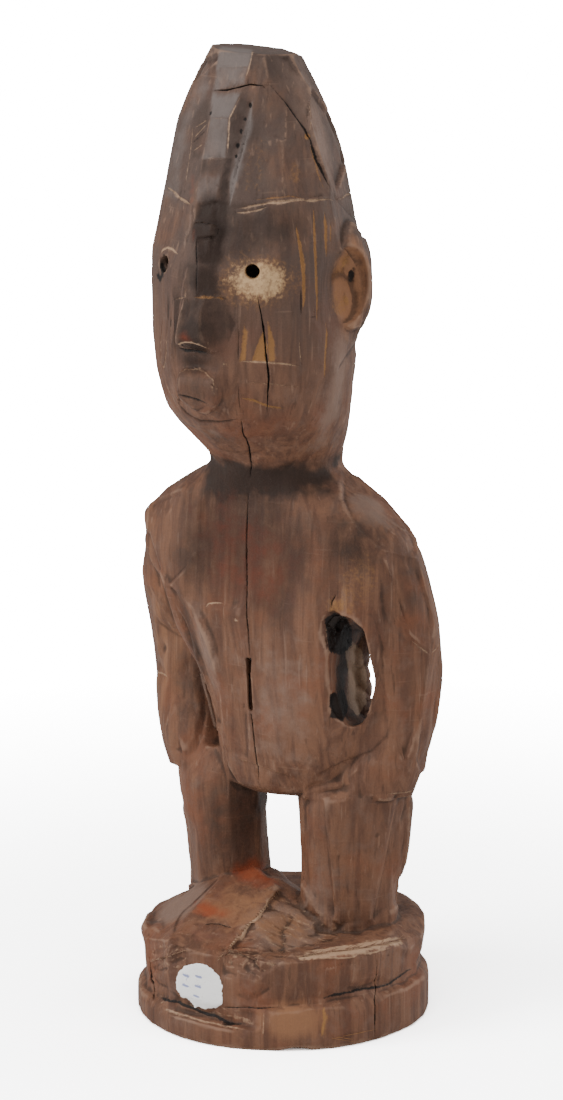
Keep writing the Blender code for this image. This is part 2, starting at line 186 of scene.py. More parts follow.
@dataclass(frozen=True)
class Unevenness:
    """One pattern of unevenness, the same on every run.

    Attributes:
        size: Width of a patch, one length or one for each axis.
        seed: Number that picks the pattern.
        octaves: How many finer layers are added, each half the size.
    """

    size: float | tuple[float, float, float]
    seed: int
    octaves: int = 1

    def at(self, points: np.ndarray) -> np.ndarray:
        """Gives a value from -1 to 1 for each point."""
        return speckle(points, self.size, self.seed, self.octaves)


CUT_WANDER = Unevenness(4.0, 3)
CUT_WIDTH = Unevenness(1.7, 5)
LEDGE_EDGE = Unevenness(3.2, 8, 2)
PATCH_EDGE = Unevenness(1.3, 31, 2)
PATCH_FACE = Unevenness(1.1, 33, 2)
KNIFE_WAVE = Unevenness((4.0, 4.0, 9.0), 41, 2)
RAISED_GRAIN = Unevenness((1.1, 1.1, 7.0), 43, 2)
SMOKE = Unevenness(14.0, 51, 3)
OVAL_SEED = 21


def blend(low: float, high: float, values: np.ndarray) -> np.ndarray:
    """Gives a smooth step from 0 at low to 1 at high."""
    share = np.clip((values - low) / (high - low), 0.0, 1.0)
    return share * share * (3.0 - 2.0 * share)


def unit(vectors: np.ndarray) -> np.ndarray:
    """Gives the vectors with length 1."""
    return vectors / np.maximum(np.linalg.norm(vectors, axis=-1, keepdims=True), TINY)


@dataclass(frozen=True)
class PhotoView:
    """Where the photograph was taken from.

    Attributes:
        turn: Angle of the camera round from the figure's front to its left, in degrees.
        ground: Distance from the figure's axis, along the floor.
        height: Height of the camera.
        aim: Height of the point on the axis that it looks at.
        lens: Focal length.
        sensor: Height of the sensor.
        columns: Width of the photograph in pixels.
        rows: Height of the photograph in pixels.
        centre_column: Column that the aim falls on.
        centre_row: Row that the aim falls on.
    """

    turn: float = 32.0
    ground: float = 1140.0
    height: float = 400.0
    aim: float = 140.0
    lens: float = 135.08
    sensor: float = 36.0
    columns: float = 563.0
    rows: float = 1100.0
    centre_column: float = 283.0
    centre_row: float = 533.09

    def stand(self) -> np.ndarray:
        """Gives the camera's place."""
        angle = math.radians(self.turn)
        return np.array([math.sin(angle) * self.ground, -math.cos(angle) * self.ground, self.height])

    def axes(self) -> tuple[np.ndarray, np.ndarray, np.ndarray]:
        """Gives the camera's right, up and forward directions."""
        angle = math.radians(self.turn)
        right = np.array([math.cos(angle), math.sin(angle), 0.0])
        forward = unit(np.array([0.0, 0.0, self.aim]) - self.stand())
        return right, np.cross(right, forward), forward

    def ray(self, pixel: Place) -> np.ndarray:
        """Finds the direction from the camera through a pixel.

        Args:
            pixel: Column and row.

        Returns:
            The direction.
        """
        right, up, forward = self.axes()
        focal = self.lens / self.sensor * self.rows
        aside = right * (pixel[0] - self.centre_column)
        return unit(forward * focal + aside - up * (pixel[1] - self.centre_row))

    def pixels(self, points: np.ndarray) -> np.ndarray:
        """Finds the pixel of each point.

        Args:
            points: Points, one row each.

        Returns:
            Column and row for each point.
        """
        right, up, forward = self.axes()
        focal = self.lens / self.sensor * self.rows
        away = points - self.stand()
        far = away @ forward
        columns = self.centre_column + focal * (away @ right) / far
        rows = self.centre_row - focal * (away @ up) / far
        return np.stack([columns, rows], axis=1)

    def make_camera(self) -> bpy.types.Object:
        """Makes the camera and gives it to the scene.

        Returns:
            The camera's object.
        """
        data = bpy.data.cameras.new("photo_camera")
        data.sensor_fit = "VERTICAL"
        data.sensor_height = self.sensor
        data.lens = self.lens
        data.shift_x = (self.columns / 2.0 - self.centre_column) / self.rows
        data.shift_y = (self.centre_row - self.rows / 2.0) / self.rows
        item = bpy.data.objects.new("photo_camera", data)
        stand = Vector(self.stand()) * MILLIMETRE
        item.location = stand
        aim = Vector((0.0, 0.0, self.aim * MILLIMETRE))
        item.rotation_euler = (aim - stand).to_track_quat("-Z", "Y").to_euler()
        bpy.context.scene.collection.objects.link(item)
        bpy.context.scene.camera = item
        return item


@dataclass
class Track:
    """A line that lies on the figure.

    Attributes:
        points: Close points along it.
        outward: The outward direction at each.
        room: How far past the reach points are looked at.
        thick: How far above or below the line a point still counts.
        lift_share: How much height above the line counts when the nearest stretch is picked.
    """

    points: np.ndarray
    outward: np.ndarray
    room: float = 2.0
    thick: float = 2.2
    lift_share: float = 0.15

    def measure(
        self, co: np.ndarray, reach: float
    ) -> tuple[np.ndarray, np.ndarray, np.ndarray, np.ndarray]:
        """Measures the points of a surface from this line.

        Args:
            co: The surface's points.
            reach: How far from the line a point still counts.

        Returns:
            The indices of the points within reach, their distance to the left of the line along the surface,
            their distance along the line, and the line's whole length.
        """
        low = self.points.min(axis=0) - reach - self.room
        high = self.points.max(axis=0) + reach + self.room
        chosen = np.flatnonzero(np.all((co > low) & (co < high), axis=1))
        near = co[chosen]
        best = np.full(len(near), FAR_OFF)
        across = np.zeros(len(near))
        along = np.zeros(len(near))
        off = np.zeros(len(near))
        done = 0.0
        for index in range(len(self.points) - 1):
            start = self.points[index]
            leg = self.points[index + 1] - start
            length = max(float(np.linalg.norm(leg)), 1e-6)
            heading = leg / length
            out = unit(self.outward[index] + self.outward[index + 1])
            left = unit(np.cross(out, heading))
            away = near - start
            run = np.clip(away @ heading, 0.0, length)
            gap = away - run[:, None] * heading
            lift = gap @ out
            flat = np.linalg.norm(gap - lift[:, None] * out, axis=1)
            score = flat + self.lift_share * np.abs(lift)
            closer = score < best
            best = np.where(closer, score, best)
            across = np.where(closer, np.where(gap @ left >= 0.0, flat, -flat), across)
            along = np.where(closer, done + run, along)
            off = np.where(closer, lift, off)
            done += length
        keep = (np.abs(across) < reach) & (np.abs(off) < self.thick)
        return chosen[keep], across[keep], along[keep], np.array(done)


class Form:
    """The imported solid, as a surface that places are looked up on.

    A pixel that just misses the solid is put on the surface nearest to its ray, which is searched in steps
    before and behind the figure's axis.
    """

    SEARCH = range(-60, 70, 2)
    TURN_ROUNDS = 3

    def __init__(self, node: bpy.types.Object, view: PhotoView) -> None:
        """Keeps the solid's faces for looking up.

        Args:
            node: The CAD node.
            view: The photograph's camera.
        """
        mesh = node.data
        mesh.calc_loop_triangles()
        points = np.empty(len(mesh.vertices) * 3)
        mesh.vertices.foreach_get("co", points)
        corners = np.empty(len(mesh.loop_triangles) * 3, dtype=np.int64)
        mesh.loop_triangles.foreach_get("vertices", corners)
        self.view = view
        corners = corners.reshape(-1, 3)
        self.tree = BVHTree.FromPolygons((points.reshape(-1, 3) * METRE).tolist(), corners.tolist())

    def spot(self, place: Place) -> tuple[np.ndarray, np.ndarray]:
        """Finds the place on the solid.

        Args:
            place: A pixel of the photograph, or a point.

        Returns:
            The point on the surface and the outward direction there.
        """
        if len(place) == 3:
            found, outward, _, _ = self.tree.find_nearest(Vector(place))
            return np.array(found), np.array(outward)
        stand = Vector(self.view.stand())
        ray = Vector(self.view.ray(place))
        found, outward, _, _ = self.tree.ray_cast(stand, ray)
        if found is None:
            far = stand.length
            tries = [self.tree.find_nearest(stand + ray * (far + step)) for step in self.SEARCH]
            found, outward, _, _ = min(tries, key=lambda hit: hit[3])
        return np.array(found), np.array(outward)

    def track(self, route: Route, step: float = 1.2) -> Track:
        """Lays a route on the solid.

        Args:
            route: Places that the line goes through, all pixels or all points.
            step: Distance between the line's points.

        Returns:
            The line on the surface.
        """
        corners = np.array(route, dtype=float)
        scale = PIXELS_PER_MILLIMETRE if corners.shape[1] == 2 else 1.0
        points = []
        outward = []
        for start, end in zip(corners[:-1], corners[1:]):
            count = max(1, round(float(np.linalg.norm(end - start)) / scale / step))
            for part in range(count):
                point, out = self.spot(tuple(start + (end - start) * part / count))
                points.append(point)
                outward.append(out)
        point, out = self.spot(tuple(corners[-1]))
        points.append(point)
        outward.append(out)
        smooth = np.array(outward)
        for _ in range(self.TURN_ROUNDS):
            smooth[1:-1] = unit(smooth[:-2] + smooth[1:-1] * 2.0 + smooth[2:])
        return Track(np.array(points), smooth)


@dataclass
class Skin:
    """The surface that is being carved.

    Attributes:
        co: Its points.
        faces: Its triangles, as indices of points.
        tints: The painted values, one array for each tint.
        links: Pairs of points that an edge joins, once they have been looked up.
    """

    co: np.ndarray
    faces: np.ndarray
    tints: dict[Tint, np.ndarray] = field(default_factory=dict)
    links: np.ndarray | None = None

    @classmethod
    def from_mesh(cls, mesh: bpy.types.Mesh) -> "Skin":
        """Reads a mesh that is in metres.

        Args:
            mesh: The mesh.

        Returns:
            The surface.
        """
        mesh.calc_loop_triangles()
        points = np.empty(len(mesh.vertices) * 3)
        mesh.vertices.foreach_get("co", points)
        corners = np.empty(len(mesh.loop_triangles) * 3, dtype=np.int64)
        mesh.loop_triangles.foreach_get("vertices", corners)
        return cls(points.reshape(-1, 3) / MILLIMETRE, corners.reshape(-1, 3))

    def to_mesh(self, name: str) -> bpy.types.Mesh:
        """Makes a mesh in metres, with the painted values on its points.

        Args:
            name: The mesh's name.

        Returns:
            The mesh.
        """
        mesh = bpy.data.meshes.new(name)
        mesh.vertices.add(len(self.co))
        mesh.vertices.foreach_set("co", (self.co * MILLIMETRE).astype(np.float32).ravel())
        mesh.loops.add(len(self.faces) * 3)
        mesh.loops.foreach_set("vertex_index", self.faces.astype(np.int32).ravel())
        mesh.polygons.add(len(self.faces))
        mesh.polygons.foreach_set("loop_start", np.arange(0, len(self.faces) * 3, 3, dtype=np.int32))
        mesh.update(calc_edges=True)
        for tint, values in self.tints.items():
            layer = mesh.attributes.new(tint.value, "FLOAT", "POINT")
            layer.data.foreach_set("value", values.astype(np.float32))
        return mesh

    def outward(self) -> np.ndarray:
        """Works out which way is outward.

        Returns:
            The direction at each point.
        """
        first, second, third = (self.co[self.faces[:, corner]] for corner in range(3))
        face = np.cross(second - first, third - first)
        total = np.zeros_like(self.co)
        for corner in range(3):
            owners = self.faces[:, corner]
            for axis in range(3):
                total[:, axis] += np.bincount(owners, weights=face[:, axis], minlength=len(self.co))
        return unit(total)

    def joined(self) -> np.ndarray:
        """Finds the pairs of points that an edge joins.

        Returns:
            The pairs, each once.
        """
        if self.links is None:
            pairs = np.concatenate([self.faces[:, [0, 1]], self.faces[:, [1, 2]], self.faces[:, [2, 0]]])
            low = np.minimum(pairs[:, 0], pairs[:, 1])
            high = np.maximum(pairs[:, 0], pairs[:, 1])
            key = np.unique(low * len(self.co) + high)
            self.links = np.stack([key // len(self.co), key % len(self.co)], axis=1)
        return self.links

    def softened(self, values: np.ndarray, rounds: int, share: float = 0.5) -> np.ndarray:
        """Spreads values over neighbouring points.

        Args:
            values: One number or one vector for each point.
            rounds: How many times they are spread.
            share: How far each value goes to its neighbours' mean.

        Returns:
            The spread values.
        """
        pairs = self.joined()
        count = np.bincount(pairs.ravel(), minlength=len(self.co)).astype(float)
        out = values.astype(float).reshape(len(self.co), -1).copy()
        for _ in range(rounds):
            for column in range(out.shape[1]):
                one = out[:, column]
                total = np.bincount(pairs[:, 0], weights=one[pairs[:, 1]], minlength=len(one))
                total += np.bincount(pairs[:, 1], weights=one[pairs[:, 0]], minlength=len(one))
                out[:, column] = one + share * (total / np.maximum(count, 1.0) - one)
        return out.reshape(values.shape)

    def refine(self, near: np.ndarray) -> None:
        """Splits in two every edge that has both ends in the chosen places.

        Args:
            near: True for each point where the surface needs finer faces.
        """
        mesh = self.to_mesh("refine")
        work = bmesh.new()
        work.from_mesh(mesh)
        picked = near.tolist()
        edges = [edge for edge in work.edges if picked[edge.verts[0].index] and picked[edge.verts[1].index]]
        bmesh.ops.subdivide_edges(work, edges=edges, cuts=1)
        bmesh.ops.triangulate(work, faces=[face for face in work.faces if len(face.verts) > 3])
        work.to_mesh(mesh)
        work.free()
        fresh = Skin.from_mesh(mesh)
        bpy.data.meshes.remove(mesh)
        self.co = fresh.co
        self.faces = fresh.faces
        self.links = None

    def tint(self, name: Tint, chosen: np.ndarray, values: np.ndarray) -> None:
        """Paints values on chosen points, where they are above what is there.

        Args:
            name: The tint.
            chosen: Indices of the points.
            values: The value for each.
        """
        if name is Tint.NONE:
            return
        layer = self.tints.setdefault(name, np.zeros(len(self.co)))
        layer[chosen] = np.maximum(layer[chosen], values)


@dataclass(frozen=True)
class Flats:
    """The knife's flats over one height of the figure.

    Attributes:
        low: Lowest height.
        high: Highest height.
        spacing: Distance between the cuts.
        upright: How much taller than wide a cut is.
        sink: Least and most depth of a cut.
        tilt: Most that a cut leans from the surface, in degrees.
        reach: How far one cut goes from its middle.
        seed: Number that picks the cuts.
    """

    low: float
    high: float
    spacing: float
    upright: float
    sink: tuple[float, float]
    tilt: float
    reach: float
    seed: int


@dataclass(frozen=True)
class Plane:
    """One flat of the knife that the photograph shows.

    Attributes:
        corners: Pixels at its corners.
        sink: How far it lies below the solid.
        most: Most that is cut away.
        fill: Most that is filled up where the solid lies lower.
    """

    corners: Route
    sink: float = 0.12
    most: float = 1.1
    fill: float = 0.35


@dataclass(frozen=True)
class Melt:
    """An egg-shaped place where one form runs softly into the next.

    Attributes:
        centre: Its middle.
        size: Its three radii.
        rounds: How many times it is softened.
    """

    centre: Place
    size: Place
    rounds: int = 120


@dataclass(frozen=True)
class Groove:
    """A cut, scratch or crack along a route.

    Attributes:
        route: Places that it goes through.
        width: Its width.
        depth: Its depth. A crack is deep for its width.
        tint: What fills it or shows in it.
        spread: Width of the tint, in shares of the cut's width.
        strength: How strong the tint is.
        ragged: How much the width wanders, from 0 to 1.
        blunt: True where its ends stop short instead of thinning out.
    """

    route: Route
    width: float = 0.7
    depth: float = 0.25
    tint: Tint = Tint.DIRT_AND_SHADE
    spread: float = 1.0
    strength: float = 1.0
    ragged: float = 0.3
    blunt: bool = False


@dataclass(frozen=True)
class Ledge:
    """A low step along a route, where the knife stopped or the wood split.

    Attributes:
        route: Places that it goes through.
        drop: Its height.
        reach: How far from the step the lowered side runs out.
        side: Which side is lowered.
        lip: What colours its edge.
        strength: How strong that tint is.
        ragged: How much the edge wanders, from 0 to 1.
    """

    route: Route
    drop: float
    reach: float
    side: Side = Side.RIGHT
    lip: Tint = Tint.PALE
    strength: float = 0.8
    ragged: float = 0.2


@dataclass(frozen=True)
class Scoop:
    """A pit or hollow.

    Attributes:
        centre: Its middle.
        across: Half its width.
        up: Half its height.
        depth: Its depth. Below 0 it is raised.
        tint: What lies in it.
        strength: How strong the tint is.
        ragged: How uneven its outline is, from 0 to 1.
    """

    centre: Place
    across: float
    up: float
    depth: float
    tint: Tint = Tint.DIRT_AND_SHADE
    strength: float = 1.0
    ragged: float = 0.3


@dataclass(frozen=True)
class Stain:
    """A soft patch of colour on one side of the figure.

    Attributes:
        centre: Its middle.
        across: Half its width.
        up: Half its height.
        tint: Its colour.
        strength: How strong it is.
        ragged: How uneven its outline is.
    """

    centre: Place
    across: float
    up: float
    tint: Tint
    strength: float = 1.0
    ragged: float = 0.5


@dataclass(frozen=True)
class Patch:
    """A patch of colour between pixels, with a raised or sunk face.

    Attributes:
        corners: Pixels round it.
        tint: Its colour.
        strength: How strong it is.
        soft: How wide its edge is.
        lift: How far its face is raised, or sunk where this is below 0.
        ragged: How much its edge wanders.
    """

    corners: Route
    tint: Tint
    strength: float = 1.0
    soft: float = 0.8
    lift: float = 0.0
    ragged: float = 0.4


@dataclass(frozen=True)
class Tear:
    """Split or torn wood between pixels, in steps that run with the grain.

    Attributes:
        corners: Pixels round it.
        grain: The two pixels that the fibres run between.
        depth: Depth of the deepest step.
        fibre: Length and width of a fibre.
        steps: How many levels the steps have.
        seed: Number that picks the pattern.
        tint: What shows on the step edges.
    """

    corners: Route
    grain: Route
    depth: float
    fibre: tuple[float, float] = (9.0, 2.2)
    steps: int = 4
    seed: int = 1
    tint: Tint = Tint.PALE


def inside(pixels: np.ndarray, corners: Route) -> np.ndarray:
    """Measures pixels from the outline of a patch.

    Args:
        pixels: Pixels, one row each.
        corners: The outline's pixels, in order.

    Returns:
        The distance in pixels from the outline, above 0 inside it.
    """
    outline = np.array(corners, dtype=float)
    gap = np.full(len(pixels), FAR_OFF)
    within = np.zeros(len(pixels), dtype=bool)
    for start, end in zip(outline, np.roll(outline, -1, axis=0)):
        leg = end - start
        away = pixels - start
        run = np.clip((away @ leg) / max(float(leg @ leg), TINY), 0.0, 1.0)
        gap = np.minimum(gap, np.linalg.norm(away - run[:, None] * leg, axis=1))
        crosses = (start[1] > pixels[:, 1]) != (end[1] > pixels[:, 1])
        rise = end[1] - start[1] if abs(end[1] - start[1]) > TINY else TINY
        column = start[0] + (pixels[:, 1] - start[1]) / rise * leg[0]
        within ^= crosses & (pixels[:, 0] < column)
    return np.where(within, gap, -gap)


class Carver:
    """Works the skin with the marks of the lists below.

    Its constants are the hollow that a flat doesn't start in and the rounds that find it; the room round a
    patch, in pixels and in depth, and how near to edge-on its points may be; how far down a flat may face,
    the places tried for flats, the ring that a flat's direction is taken from and the depth of its deepest
    cut; and how far one round of melting goes.
    """

    HOLLOW = 0.03
    HOLLOW_ROUNDS = 14
    PIXEL_ROOM = 8.0
    DEPTH_ROOM = 5.0
    EDGE_ON = 0.15
    FLAT_FACES_DOWN = -0.75
    FLAT_TRIES = 5000
    FLAT_RING = 2.6
    FLAT_DEEPEST = 0.9
    MELT_SHARE = 0.6

    def __init__(self, skin: Skin, form: Form) -> None:
        """Takes the skin to carve and the solid that places are looked up on."""
        self.skin = skin
        self.form = form
        self.outward = skin.outward()
        bend = np.sum((skin.softened(skin.co, self.HOLLOW_ROUNDS) - skin.co) * self.outward, axis=1)
        self.full = bend < self.HOLLOW

    def seen(self, corners: Route) -> tuple[np.ndarray, np.ndarray]:
        """Finds the points that show between some pixels.

        Args:
            corners: Pixels round the place.

        Returns:
            The indices of the points, and how far in millimetres each is inside the outline.
        """
        outline = np.array(corners, dtype=float)
        middle, _ = self.form.spot(tuple(outline.mean(axis=0)))
        forward = self.form.view.axes()[2]
        spots = np.array([self.form.spot(tuple(corner))[0] for corner in outline])
        depths = (spots - middle) @ forward
        near = min(depths.min(), 0.0) - self.DEPTH_ROOM
        far = max(depths.max(), 0.0) + self.DEPTH_ROOM
        pixels = self.form.view.pixels(self.skin.co)
        low = outline.min(axis=0) - self.PIXEL_ROOM
        high = outline.max(axis=0) + self.PIXEL_ROOM
        depth = (self.skin.co - middle) @ forward
        show = np.all((pixels > low) & (pixels < high), axis=1) & (depth > near) & (depth < far)
        show &= self.outward @ forward < self.EDGE_ON
        chosen = np.flatnonzero(show)
        return chosen, inside(pixels[chosen], corners) / PIXELS_PER_MILLIMETRE

    def pare(
        self, chosen: np.ndarray, middle: np.ndarray, out: np.ndarray, share: np.ndarray, most: float
    ) -> None:
        """Cuts points back to a plane.

        Args:
            chosen: Indices of the points.
            middle: A point on the plane.
            out: The plane's outward direction.
            share: How much of the cut each point takes, from 0 to 1.
            most: Depth past which the cut fades out again.
        """
        proud = (self.skin.co[chosen] - middle) @ out
        cut = np.clip(np.minimum(proud, 2.0 * most - proud), 0.0, None) * share
        self.skin.co[chosen] -= cut[:, None] * out

    def cut_flats(self, flats: Flats, kept: tuple["Keep", ...]) -> int:
        """Covers a height of the figure with the knife's flats.

        Args:
            flats: The flats' sizes.
            kept: Places that no flat starts in.

        Returns:
            The number of flats.
        """
        skin = self.skin
        pick = np.random.default_rng(flats.seed)
        height = skin.co[:, 2]
        able = (height > flats.low) & (height < flats.high) & self.full
        able &= self.outward[:, 2] > self.FLAT_FACES_DOWN
        for keep in kept:
            able &= np.linalg.norm((skin.co - np.array(keep.centre)) / np.array(keep.size), axis=1) > 1.0
        pool = np.flatnonzero(able)
        pool = pick.permutation(pool)[: self.FLAT_TRIES]
        squeeze = np.array([1.0, 1.0, 1.0 / flats.upright])
        seeds: list[int] = []
        taken = np.empty((0, 3))
        for index in pool:
            at = skin.co[index] * squeeze
            if len(taken) and np.min(np.sum((taken - at) ** 2, axis=1)) < flats.spacing**2:
                continue
            taken = np.vstack([taken, at])
            seeds.append(int(index))
        for index in seeds:
            middle = skin.co[index].copy()
            away = (skin.co - middle) * squeeze
            gap = np.sqrt(np.sum(away * away, axis=1))
            around = np.flatnonzero(gap < flats.reach)
            out = self.outward[index]
            facing = self.outward[around] @ out
            close = around[(gap[around] < self.FLAT_RING) & (facing > 0.5)]
            out = unit(self.outward[close].mean(axis=0))
            lean = pick.normal(size=3) * math.tan(math.radians(flats.tilt)) * 0.6
            lean[2] *= 0.5
            out = unit(out + lean - out * float(out @ lean))
            sink = pick.uniform(*flats.sink)
            top = skin.co[close].mean(axis=0) - out * sink
            share = blend(flats.reach, flats.reach * 0.7, gap[around]) * (facing > 0.35)
            self.pare(around, top, out, share, self.FLAT_DEEPEST)
        return len(seeds)

    def melt(self, one: Melt) -> None:
        """Softens the surface in one place.

        Args:
            one: The place.
        """
        skin = self.skin
        middle = np.array(one.centre) if len(one.centre) == 3 else self.form.spot(one.centre)[0]
        far = np.linalg.norm((skin.co - middle) / np.array(one.size), axis=1)
        chosen = np.flatnonzero(far < 1.0)
        number = np.full(len(skin.co), -1)
        number[chosen] = np.arange(len(chosen))
        pairs = number[skin.joined()]
        pairs = pairs[(pairs >= 0).all(axis=1)]
        count = np.maximum(np.bincount(pairs.ravel(), minlength=len(chosen)), 1.0)
        weight = blend(1.0, 0.45, far[chosen])[:, None] * self.MELT_SHARE
        near = skin.co[chosen]
        for _ in range(one.rounds):
            total = np.zeros_like(near)
            for axis in range(3):
                for this, other in ((0, 1), (1, 0)):
                    values = near[pairs[:, other], axis]
                    total[:, axis] += np.bincount(pairs[:, this], weights=values, minlength=len(near))
            near = near + weight * (total / count[:, None] - near)
        skin.co[chosen] = near

    def cut_plane(self, plane: Plane) -> None:
        """Cuts one flat that the photograph shows.

        Args:
            plane: The flat.
        """
        chosen, within = self.seen(plane.corners)
        spots = np.array([self.form.spot(tuple(corner))[0] for corner in plane.corners])
        middle = spots.mean(axis=0)
        _, _, turned = np.linalg.svd(spots - middle)
        out = turned[2]
        if out @ self.form.view.axes()[2] > 0.0:
            out = -out
        share = blend(-0.35, 0.05, within)
        proud = (self.skin.co[chosen] - middle) @ out + plane.sink
        cut = np.clip(proud, -plane.fill, plane.most) * share
        self.skin.co[chosen] -= cut[:, None] * out

    def cut_groove(self, groove: Groove) -> None:
        """Cuts one groove or crack.

        Args:
            groove: The groove.
        """
        track = self.form.track(groove.route)
        chosen, across, along, length = track.measure(self.skin.co, groove.width * 1.6 + 0.8)
        if not len(chosen):
            return
        at = self.skin.co[chosen]
        wander = CUT_WANDER.at(at) * groove.ragged * 0.6 * groove.width
        half = groove.width / 2.0 * (1.0 + groove.ragged * CUT_WIDTH.at(at))
        ends = np.minimum(along, length - along)
        taper = np.clip(ends / (0.4 if groove.blunt else max(1.5, 0.25 * float(length))), 0.0, 1.0) ** 0.6
        half = np.maximum(half * (taper if not groove.blunt else 1.0), 0.05)
        gap = np.abs(across + wander * (0.0 if groove.width > 2.0 else 1.0))
        inner = np.clip(1.0 - gap / half, 0.0, 1.0)
        fall = inner ** (0.7 if groove.depth > groove.width * 0.6 else 1.0)
        self.skin.co[chosen] -= (fall * taper * groove.depth)[:, None] * self.outward[chosen]
        reach = half * groove.spread * 2.0
        value = np.clip(1.0 - gap / np.maximum(reach, 0.2), 0.0, 1.0) * groove.strength * np.sqrt(taper)
        self.skin.tint(groove.tint, chosen, value)

    def cut_ledge(self, ledge: Ledge) -> None:
        """Cuts one step.

        Args:
            ledge: The step.
        """
        track = self.form.track(ledge.route)
        chosen, across, along, length = track.measure(self.skin.co, ledge.reach + 1.0)
        if not len(chosen):
            return
        at = self.skin.co[chosen]
        across = (across + ledge.ragged * LEDGE_EDGE.at(at) * 1.4) * ledge.side.value
        ends = np.clip(np.minimum(along, length - along) / max(1.0, 0.2 * float(length)), 0.0, 1.0)
        low = blend(-0.28, 0.32, across) * np.clip(1.0 - across / ledge.reach, 0.0, 1.0)
        self.skin.co[chosen] -= (low * ends * ledge.drop)[:, None] * self.outward[chosen]
        value = np.clip(1.0 - np.abs(across + 0.15) / 0.7, 0.0, 1.0) * ledge.strength * ends
        self.skin.tint(ledge.lip, chosen, value)

    def cut_scoop(self, scoop: Scoop) -> None:
        """Cuts one pit or hollow, which fades out where the surface turns away.

        Args:
            scoop: The pit.
        """
        chosen, far = self.oval(scoop.centre, scoop.across, scoop.up, scoop.ragged)
        facing = np.clip(self.outward[chosen] @ self.form.spot(scoop.centre)[1] * 2.0, 0.0, 1.0)
        deep = np.clip(1.0 - far, 0.0, 1.0) ** 0.7 * facing * scoop.depth
        self.skin.co[chosen] -= deep[:, None] * self.outward[chosen]
        self.skin.tint(scoop.tint, chosen, np.clip(1.25 - far, 0.0, 1.0) * scoop.strength)

    def paint_stain(self, stain: Stain) -> None:
        """Paints one soft patch."""
        chosen, far = self.oval(stain.centre, stain.across, stain.up, stain.ragged)
        self.skin.tint(stain.tint, chosen, np.clip(1.4 - far, 0.0, 1.0) / 1.4 * stain.strength)

    def oval(self, centre: Place, across: float, up: float, ragged: float) -> tuple[np.ndarray, np.ndarray]:
        """Finds the points round a place.

        Args:
            centre: The place.
            across: Half the width.
            up: Half the height.
            ragged: How uneven the outline is, from 0 to 1.

        Returns:
            The indices of the points, and how far out each is: 1 on the outline.
        """
        middle, out = self.form.spot(centre)
        away = self.skin.co - middle
        side = unit(np.cross(UP, out) + 1e-6)
        tall = np.cross(out, side)
        reach = max(across, up) * 1.6
        lift = away @ out
        near = np.flatnonzero((np.abs(lift) < reach) & (np.sum(away * away, axis=1) < (reach * 1.4) ** 2))
        near = near[self.outward[near] @ out > 0.0]
        gap = np.sqrt(((away[near] @ side) / across) ** 2 + ((away[near] @ tall) / up) ** 2)
        size = max(0.8, min(across, up) * 0.6)
        gap = gap + ragged * 0.45 * speckle(self.skin.co[near], size, OVAL_SEED, 3)
        keep = gap < 1.5
        return near[keep], gap[keep]

    def paint_patch(self, patch: Patch) -> None:
        """Paints one patch, and raises or sinks it.

        Args:
            patch: The patch.
        """
        chosen, within = self.seen(patch.corners)
        within = within + patch.ragged * PATCH_EDGE.at(self.skin.co[chosen])
        value = np.clip(0.5 + within / (2.0 * patch.soft), 0.0, 1.0)
        self.skin.tint(patch.tint, chosen, value * patch.strength)
        if patch.lift:
            rough = 1.0 + 0.35 * PATCH_FACE.at(self.skin.co[chosen])
            rise = blend(-0.15, 0.25, within) * rough * patch.lift
            self.skin.co[chosen] += rise[:, None] * self.outward[chosen]

    def tear_out(self, tear: Tear) -> None:
        """Breaks the surface into steps and fibres.

        Args:
            tear: The torn place.
        """
        chosen, within = self.seen(tear.corners)
        start, out = self.form.spot(tear.grain[0])
        end, _ = self.form.spot(tear.grain[1])
        heading = unit(end - start)
        side = unit(np.cross(out, heading))
        rise = np.cross(heading, side)
        at = self.skin.co[chosen]
        turned = np.stack([at @ heading, at @ side, at @ rise], axis=1)
        size = (tear.fibre[0], tear.fibre[1], tear.fibre[1] * 1.5)
        value = speckle(turned, size, tear.seed, 2) * 0.5 + 0.5
        level = value * tear.steps
        base = np.floor(level)
        stepped = (base + blend(0.75, 1.0, level - base)) / tear.steps
        fine = speckle(turned, (tear.fibre[0] * 0.4, tear.fibre[1] * 0.28, 1.0), tear.seed + 7, 2)
        fade = blend(-0.3, 0.5, within + 0.5 * speckle(at, 2.0, tear.seed + 3))
        fall = (stepped * tear.depth + 0.06 * fine) * fade
        self.skin.co[chosen] -= fall[:, None] * self.outward[chosen]
        edge = np.clip(1.0 - np.abs(level - base - 0.8) / 0.25, 0.0, 1.0)
        self.skin.tint(tear.tint, chosen, edge * fade * 0.55)

    def roughen(self) -> None:
        """Adds the unevenness that the knife and the years leave everywhere."""
        co = self.skin.co
        wave = KNIFE_WAVE.at(co) * 0.10
        fibre = RAISED_GRAIN.at(co) * 0.035
        self.skin.co = co - (wave + fibre)[:, None] * self.outward

    def paint_wear(self) -> None:
        """Paints the rubbed edges, and the dark in the hollows that the carved shape makes, which is grime
        together with painted shade.
        """
        skin = self.skin
        self.outward = skin.outward()
        near = np.sum((skin.softened(skin.co, 4) - skin.co) * self.outward, axis=1)
        wide = np.sum((skin.softened(skin.co, 24) - skin.co) * self.outward, axis=1)
        near = skin.softened(near, 1)
        rubbed = np.clip(-near / 0.12, 0.0, 1.0) * 0.8 + np.clip(-wide / 0.60, 0.0, 1.0) * 0.3
        # Dark in the hollows: grime together with painted shade.
        sunk = np.clip(near / 0.08, 0.0, 1.0) * 0.5 + np.clip(wide / 0.45, 0.0, 1.0) * 0.7
        skin.tints[Tint.EDGE] = np.clip(rubbed, 0.0, 1.0)
        skin.tints[Tint.HOLLOW] = np.clip(sunk, 0.0, 1.0)


@dataclass(frozen=True)
class Keep:
    """A ball or egg that the general flats leave alone."""

    centre: Place
    size: Place


